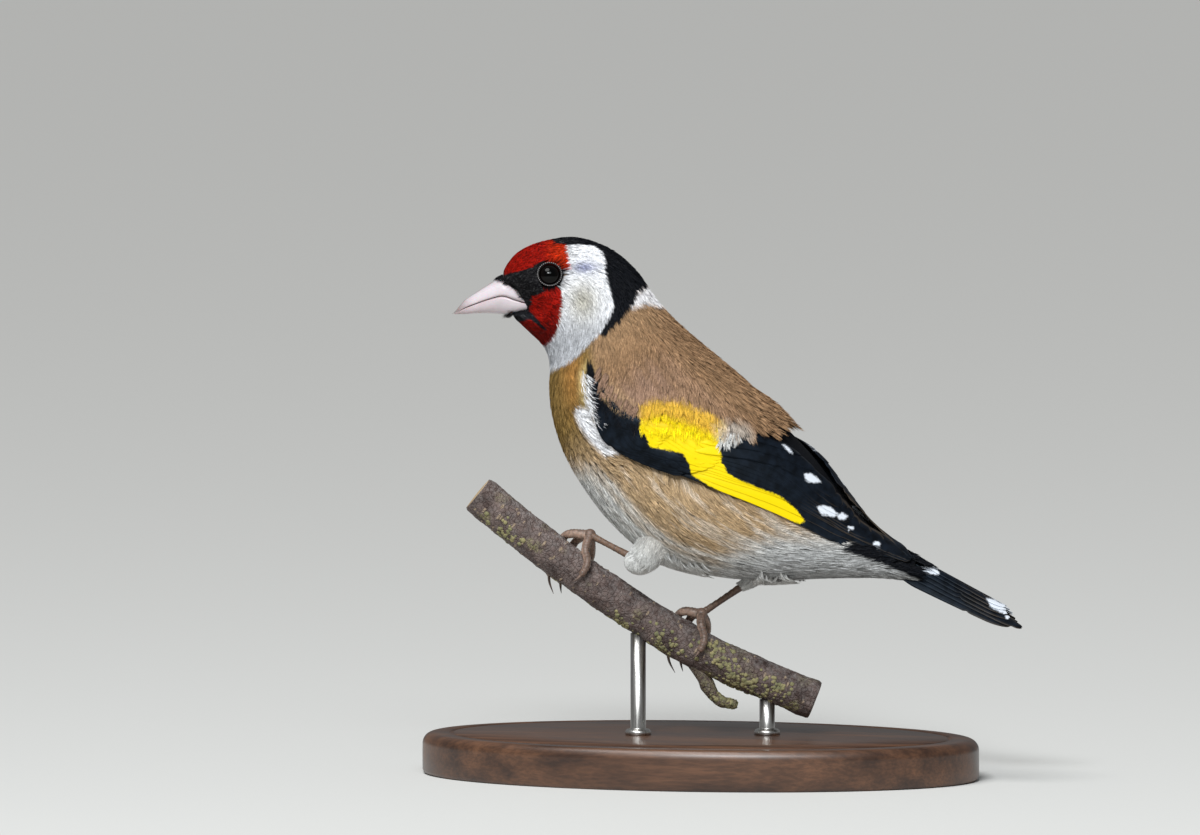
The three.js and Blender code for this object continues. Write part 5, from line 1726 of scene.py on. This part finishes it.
perch_fine = line_through(PERCH_LINE, np.linspace(0, 1, 600))
perch_run = np.concatenate([[0], np.cumsum(np.linalg.norm(np.diff(perch_fine, axis=0), axis=1))])
PERCH_LENGTH = perch_run[-1]
perch_tangents = unit(np.gradient(perch_fine, axis=0))
TOWARDS_LEFT = np.array([math.sin(HEAD_TURN), -math.cos(HEAD_TURN), 0.0])


def by_perch(along, angle, away):
    """A point by the perch: mm from its left end, degrees round it from its top, mm from its middle."""
    along = np.asarray(along, float)
    centre = np.stack([np.interp(along, perch_run, perch_fine[:, k]) for k in range(3)], axis=-1)
    tangent = unit(np.stack([np.interp(along, perch_run, perch_tangents[:, k]) for k in range(3)], axis=-1))
    up = unit(np.cross(tangent, TOWARDS_LEFT))
    up = up * np.sign(up[..., 2:])
    near = unit(np.cross(up, tangent))
    near = near * -np.sign(near[..., 1:2])
    angle = np.radians(angle)
    away = np.asarray(away, float)[..., None]
    return centre + up * away * np.cos(angle)[..., None] + near * away * np.sin(angle)[..., None]


def bark_radius(along):
    """The bark's radius, swollen a little at its buds."""
    swell = 0.6 * np.sin(along * 0.42 + 0.6) + 0.4 * np.sin(along * 0.17)
    return PERCH_RADIUS * (1 + 0.03 * swell) + 0.12 * np.exp(-(((along - 50) / 4) ** 2))


def pore_spots(place, count, seed, along_size, across_size):
    """Small long spots scattered over the bark: 1 inside each, with a soft rim."""
    draw = np.random.default_rng(seed)
    spots = np.zeros(place.shape[:-1])
    for at, round_it in zip(draw.uniform(1, PERCH_LENGTH - 1, count), draw.uniform(-180, 180, count)):
        size = draw.uniform(0.6, 1.3)
        across = ((place[..., 1] - round_it + 180) % 360 - 180) * math.pi / 180 * PERCH_RADIUS
        near = ((place[..., 0] - at) / (along_size * size)) ** 2 + (across / (across_size * size)) ** 2
        spots = np.maximum(spots, 1 - smoothstep(0.5, 1.0, near))
    return spots


def make_perch(bark, cut, lichen):
    """The branch: bark worked over the perch's chart, sawn ends, a twig stub and crusts of lichen."""
    a, b = np.meshgrid(np.linspace(0, PERCH_LENGTH, 420), np.linspace(-180, 180, 133)[:-1], indexing="ij")
    chart = np.stack([a, b * math.pi / 180 * PERCH_RADIUS], axis=-1)
    core = by_perch(a, b, bark_radius(a))
    pores = pore_spots(np.stack([a, b], axis=-1), 130, SEED + 3, 0.22, 0.55)
    wrinkle = 0.05 * grain(core, 3.0, SEED + 4) + 0.035 * grain(core, 0.9, SEED + 5)
    furrow = 0.03 * grain(chart * np.array([0.25, 1.0]), 0.8, SEED + 6)
    soft = smoothstep(0, 0.5, a) * smoothstep(0, 0.5, PERCH_LENGTH - a)
    lift = (wrinkle + furrow + 0.1 * pores) - 0.22 * (1 - soft) - 0.08
    rings = by_perch(a, b, bark_radius(a) + lift)
    crusty = grain(core, 6.0, SEED + 9) + 0.9 * np.exp(-(((a - 60) / 7) ** 2)) - 0.45
    # painted sky reflection: the grey bloom is stronger on the branch's top
    bloom = 0.35 + 0.65 * smoothstep(80, 10, np.abs(b))
    under = 0.25 + 0.75 * smoothstep(70, 150, np.abs(b))
    values = {"pore": pores, "bloom": bloom, "crust": smoothstep(0.2, 0.9, crusty) * under}
    points, faces, kept_values = drum(rings, **values)
    branch = Shape().add(points, faces, **kept_values)
    add_twig(branch)
    branch.piece("bark_branch", bark, "bark", ("perch",))
    make_sawn_ends(cut)
    make_lichen(lichen)


def add_twig(branch):
    """The twig's stub: knotty bark swept along its line."""
    rows, sides = 60, 28
    share = np.linspace(0, 1, rows)
    path = line_through(TWIG_LINE, share)
    turn = share[:, None] * np.ones(sides)
    places = np.stack([turn * 14, np.ones((rows, 1)) * np.arange(sides)], axis=-1)
    knots = 1 + 0.1 * np.sin(turn * 19) + 0.05 * grain(places, 3.0, SEED + 11)
    rings = line_through(TWIG_RADII, share)[:, None] * knots * 0.92
    outward = np.broadcast_to(TOWARDS_LEFT, path.shape)
    plain = {"pore": np.zeros((rows, sides)), "bloom": np.full((rows, sides), 0.5), "crust": 0.2 + 0.7 * turn}
    points, faces, values = sweep(path, outward, rings, sides, **plain)
    branch.add(points, faces, **values)


def make_sawn_ends(finish):
    """A low dome of end grain at each sawn end."""
    ends = Shape()
    for at, way in ((0.0, -1.0), (PERCH_LENGTH, 1.0)):
        share, turn = np.meshgrid(np.linspace(1, 0.04, 14), np.linspace(-180, 180, 65)[:-1], indexing="ij")
        reach = (bark_radius(np.array(at)) - 0.55) * share
        face = by_perch(np.full(share.shape, at), turn, reach)
        tangent = unit(perch_fine[-1] - perch_fine[-2] if way > 0 else perch_fine[0] - perch_fine[1])
        face = face + tangent * (0.1 - 0.06 * share + 0.02 * np.sin(np.radians(turn) * 3))[..., None]
        back = face[:1] - tangent * 0.4
        rings = np.concatenate([back, face])
        wide, round_it = np.concatenate([reach[:1], reach]), np.concatenate([turn[:1], turn])
        ring = wide + 0.12 * np.sin(np.radians(round_it) * 2)
        points, faces, values = drum(rings, ring=ring)
        ends.add(points, faces, **values)
    ends.piece("sawn_ends", finish, "bark")


LICHEN_LOBES = 420
# Where lichen grows on the branch: mm from its left end, degrees round it from its top
LICHEN_SPOTS = (
    (8, 130), (24, -150), (38, 150), (47, 120), (56, 60), (60, 100), (61, 160), (66, 135), (70, 95),
)


def make_lichen(finish):
    """Crusts of lichen: clusters of small lobed domes on the bark's underside and on the twig."""
    draw = np.random.default_rng(SEED + 12)
    count = LICHEN_LOBES
    chosen = np.array(LICHEN_SPOTS)[draw.integers(0, len(LICHEN_SPOTS), count)]
    along = np.clip(chosen[:, 0] + draw.normal(0, 2.2, count), 0.8, PERCH_LENGTH - 0.8)
    angle = chosen[:, 1] + draw.normal(0, 22, count)
    centre = by_perch(along, angle, bark_radius(along) - 0.08)
    outward = unit(centre - by_perch(along, angle, np.zeros(count)))
    on_twig = draw.uniform(size=count) < 0.32
    share = draw.uniform(0.35, 0.97, count)
    twig = line_through(TWIG_LINE, share)
    spin = unit(draw.normal(size=(count, 3)))
    on_bark = twig + spin * (0.85 * line_through(TWIG_RADII, share))[:, None]
    centre = np.where(on_twig[:, None], on_bark, centre)
    outward = np.where(on_twig[:, None], spin, outward)
    dome, faces, _ = ball((0, 0, 0), 1.0, 5, 9)
    bumps = 1 + 0.22 * np.sin(dome @ np.array([5.1, 3.7, 2.9]))
    dome = dome * bumps[:, None]
    size = draw.uniform(0.22, 0.55, (count, 1, 1))
    first = unit(np.cross(outward, unit(draw.normal(size=(count, 3)))))
    second = np.cross(outward, first)
    across = dome[:, 0, None] * first[:, None] + dome[:, 1, None] * second[:, None]
    local = size * (across + 0.42 * dome[:, 2, None] * outward[:, None])
    points = (centre[:, None] + local).reshape(-1, 3)
    starts = np.arange(count)[:, None, None] * len(dome)
    blocks = [(starts + block).reshape(-1, block.shape[1]) for block in faces]
    Shape().add(points, blocks).piece("lichen_crusts", finish, "bark")


def hub(leg):
    """The middle of a foot, above the perch."""
    foot = FEET[leg]
    return by_perch(np.array(foot["along"]), np.array(5.0), np.array(foot["rise"]))


def toe_path(leg, toe, places):
    """A toe's middle line from the foot's hub round the perch, and the way out from the perch."""
    along, angle, away = np.array(TOES[toe], float).T
    at = FEET[leg]["along"] + along
    route = np.vstack([hub(leg)[None], by_perch(at, angle, away)])
    path = line_through(route, places)
    stops = np.concatenate([[FEET[leg]["along"]], at])
    middle = np.interp(places, np.linspace(0, 1, len(stops)), stops)
    outward = path - by_perch(middle, np.zeros(len(places)), np.zeros(len(places)))
    return path, outward


def make_feet(scales, horn):
    """Toes with ring scutes above and pads below, each ending in a curved claw."""
    for leg in FEET:
        foot, claws = Shape(), Shape()
        for toe in TOES:
            places = np.linspace(0, CLAW_FROM + 0.04, 84)
            path, outward = toe_path(leg, toe, places)
            turn = all_round(24)
            above = smoothstep(-0.2, 0.6, np.cos(turn))[None]
            run = np.concatenate([[0], np.cumsum(np.linalg.norm(np.diff(path, axis=0), axis=1))])[:, None]
            radius = line_through((0.9, 0.76, 0.72, 0.66, 0.56), places / places[-1])[:, None]
            scute = (run / 0.62) % 1.0
            step = 0.13 * (1 - scute) ** 0.7 * above
            joint = np.abs((run / run[-1] * 3 + 0.5) % 1.0 - 0.5) * 2
            pad = 0.13 * (1 - above) * np.sin(np.pi * joint) ** 0.5
            end = np.sqrt(np.clip((run[-1] - run) / 0.45, 0.02, 1))
            rings = (radius + step + pad) * end
            groove = (smoothstep(0.0, 0.12, scute) * above + (1 - above))[..., None]
            skin = mix(LEG_TONES["toe"], LEG_TONES["pad"], (1 - above)[..., None] * np.ones_like(groove))
            # painted shade: the skin is darker in the grooves between scutes
            colour = skin * (0.4 + 0.6 * groove)
            points, faces, values = sweep(path, outward, rings, 24, squash=0.94, scale=colour)
            foot.add(points, faces, **values)
            add_claw(claws, leg, toe)
        points, faces, values = ball(hub(leg), HUB_RADIUS * 0.95, 20, 28)
        pinkish = np.broadcast_to(LEG_TONES["toe"], (len(points), 3))
        foot.add(points, faces, scale=pinkish)
        foot.piece(f"toes_{leg}", scales, "leg_scales", (f"foot_{leg}",))
        claws.piece(f"claws_{leg}", horn, "leg_scales")


def add_claw(claws, leg, toe):
    """A claw: a narrow tapered hook, deeper than it is wide."""
    places = np.linspace(CLAW_FROM - 0.02, 1.0, 40)
    path, outward = toe_path(leg, toe, places)
    share = np.linspace(0, 1, 40)
    radius = mix(0.5, 0.05, share**0.85)
    tone = mix(LEG_TONES["claw"], LEG_TONES["claw_tip"], smoothstep(0.1, 0.9, share)[:, None])
    colour = np.broadcast_to(tone[:, None], (40, 16, 3))
    points, faces, values = sweep(path, outward, radius, 16, squash=0.72, scale=colour)
    claws.add(points, faces, **values)


def make_tarsi(finish):
    """The bare shanks: a row of broad scutes down the front and finer ones behind."""
    for leg, shank in TARSI.items():
        start = np.array(shank["from"])
        end = hub(leg)
        share = np.linspace(-0.04, 1.0, 96)
        path = start + (end - start) * share[:, None]
        run = (share * np.linalg.norm(end - start))[:, None]
        turn = all_round(28)
        front = smoothstep(-0.1, 0.5, np.cos(turn))[None]
        top, ankle = shank["radii"]
        radii = (top * 1.12, top * 0.93, top * 0.9, ankle)
        radius = line_through(radii, np.clip(share, 0, 1))[:, None]
        scute = (run / 1.25 + 0.03) % 1.0
        fine = (run / 0.7) % 1.0
        step = 0.11 * (1 - scute) ** 0.8 * front + 0.03 * (1 - fine) * (1 - front)
        groove = (smoothstep(0.0, 0.1, scute) * front + smoothstep(0.0, 0.2, fine) * (1 - front))[..., None]
        skin = mix(LEG_TONES["shank"], LEG_TONES["shank_back"], (1 - front)[..., None] * np.ones_like(groove))
        # painted shade: the skin is darker in the grooves between scutes
        colour = skin * (0.3 + 0.7 * groove)
        outward = np.broadcast_to(np.array([-0.6, -0.7, 0.4]), path.shape)
        points, faces, values = sweep(path, outward, radius + step, 28, squash=0.86, scale=colour)
        Shape().add(points, faces, **values).piece(f"shank_{leg}", finish, "leg_scales", (f"tarsus_{leg}",))


BASE = {"length": 110.0, "width": 64.0, "height": 8.0, "edge": 2.2}
ROD_RADIUS = 1.5
# The middle of each rod on the base
RODS = {"front": (-12.0, -1.55), "back": (12.6, 3.7)}


def make_stand(wood, metal):
    """An oval base with a rounded rim and a shallow groove, and two rods up to the perch."""
    half, height, edge = BASE["length"] / 2, BASE["height"], BASE["edge"]
    round_over = np.linspace(0, np.pi / 2, 14)
    profile = [(0.2, 0.0), (half - 0.8, 0.0), (half - 0.25, 0.25), (half, 0.8)]
    profile += [(half, height * 0.4), (half, height - edge)]
    inner, under = half - edge, height - edge
    profile += [(inner + edge * math.cos(k), under + edge * math.sin(k)) for k in round_over[1:]]
    groove = np.linspace(0, np.pi, 9)
    profile += [(half - 5.2 - 0.5 * (1 - math.cos(k)), height - 0.35 * math.sin(k)) for k in groove]
    profile += [(half * 0.6, height), (0.2, height)]
    points, faces, _ = drum(turned_rings(profile, 192, narrow=BASE["width"] / BASE["length"]))
    Shape().add(points, faces).piece("base_oval", wood, "stand_wood", ("stand_base",))
    for name, middle in RODS.items():
        _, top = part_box(f"stand_rod_{name}")
        tall = top.z / MM
        collar = [(2.5, height), (2.5, height + 0.7), (2.2, height + 1.1), (ROD_RADIUS + 0.05, height + 1.2)]
        shank = [(ROD_RADIUS, height + 1.4), (ROD_RADIUS, tall), (ROD_RADIUS - 0.6, tall + 0.1)]
        points, faces, _ = drum(turned_rings(collar + shank, 40, middle))
        Shape().add(points, faces).piece(f"rod_{name}", metal, "stand_metal", (f"stand_rod_{name}",))


# Studio

CAMERA_LENS = 400.0
SENSOR = 36.0


def make_camera():
    """A long lens square to the photograph's view; its frame is 1200 pixels of the bird's scale wide."""
    cos_a, sin_a = math.cos(VIEW_AZIMUTH), math.sin(VIEW_AZIMUTH)
    cos_e, sin_e = math.cos(VIEW_ELEVATION), math.sin(VIEW_ELEVATION)
    right = Vector((cos_a, sin_a, 0))
    up = Vector((-sin_a * sin_e, cos_a * sin_e, cos_e))
    back = Vector((sin_a * cos_e, -cos_a * cos_e, sin_e))
    centre_x = (PHOTO["width"] / 2 - ORIGIN_PIXEL[0]) * MM_PER_PIXEL
    centre_y = (ORIGIN_PIXEL[1] - PHOTO["height"] / 2) * MM_PER_PIXEL
    distance = PHOTO["width"] * MM_PER_PIXEL * CAMERA_LENS / SENSOR
    data = bpy.data.cameras.new("camera")
    data.lens = CAMERA_LENS
    data.sensor_width = SENSOR
    data.clip_start, data.clip_end = 0.1, 60.0
    camera = bpy.data.objects.new("camera", data)
    camera.location = (right * centre_x + up * centre_y + back * distance) * MM
    camera.rotation_mode = "QUATERNION"
    camera.rotation_quaternion = (-back).to_track_quat("-Z", "Y")
    bpy.context.scene.collection.objects.link(camera)
    bpy.context.scene.camera = camera


def make_floor():
    """A wide pale floor, far larger than the camera sees."""
    sides, below = 64, -0.02
    rings = turned_rings([(reach, below) for reach in (0.05, 2000.0, 9000.0, 40000.0)], sides)
    rows = len(rings)
    faces = grid_faces(rows, sides, joined=True).tolist()
    faces += [[rows * sides, k, (k + 1) % sides] for k in range(sides)]
    points = np.concatenate([rings.reshape(-1, 3), [[0, 0, below]]]) * MM
    mesh = bpy.data.meshes.new("floor")
    mesh.from_pydata(points.tolist(), [], faces)
    grey = (0.62, 0.62, 0.60, 1.0)
    finish, _, _ = new_finish("floor", Base_Color=grey, Roughness=0.9, Specular_IOR_Level=0.1)
    mesh.materials.append(finish)
    floor = bpy.data.objects.new("floor", mesh)
    bpy.context.scene.collection.objects.link(floor)


def add_light(name, kind, place, energy, size, colour=(1.0, 1.0, 1.0)):
    """A lamp aimed at the bird."""
    data = bpy.data.lights.new(name, kind)
    data.energy = energy
    data.color = colour
    if kind == "AREA":
        data.shape = "RECTANGLE"
        data.size, data.size_y = size
    else:
        data.angle = size
    lamp = bpy.data.objects.new(name, data)
    lamp.location = place
    aim = Vector((0.0, 0.0, 0.07)) - Vector(place)
    lamp.rotation_mode = "QUATERNION"
    lamp.rotation_quaternion = aim.to_track_quat("-Z", "Y")
    bpy.context.scene.collection.objects.link(lamp)


def make_light():
    """Soft daylight: an even sky, a broad high sun and a softbox that the eye mirrors."""
    world = bpy.data.worlds.new("sky")
    bpy.context.scene.world = world
    world.use_nodes = True
    backdrop = world.node_tree.nodes["Background"]
    backdrop.inputs["Color"].default_value = (0.86, 0.88, 0.9, 1.0)
    backdrop.inputs["Strength"].default_value = 0.22
    add_light("sun", "SUN", (-0.5, -1.0, 2.4), 1.85, math.radians(35))
    add_light("softbox", "AREA", (0.2, -1.15, 0.97), 6.0, (0.85, 0.4), (0.88, 0.95, 1.0))
    add_light("window", "AREA", (0.02, -1.2, 0.94), 13.0, (0.5, 0.24), (0.96, 0.98, 1.0))
    bpy.context.scene.view_settings.view_transform = "Standard"


make_camera()
make_floor()
make_light()
soft = plumage_finish()
make_skin(skin_finish())
make_coat(soft)
make_fringes(soft)
make_thighs(soft)
make_bristles(soft)
vanes = vane_finish()
make_wing("left", vanes)
make_wing("right", vanes)
make_tail(vanes)
make_bill(horn_finish())
make_eyes(eye_finish(), lid_finish())
scaled = scale_finish()
make_tarsi(scaled)
make_feet(scaled, claw_finish())
make_perch(bark_finish(), cut_wood_finish(), lichen_finish())
make_stand(stand_wood_finish(), stand_metal_finish())
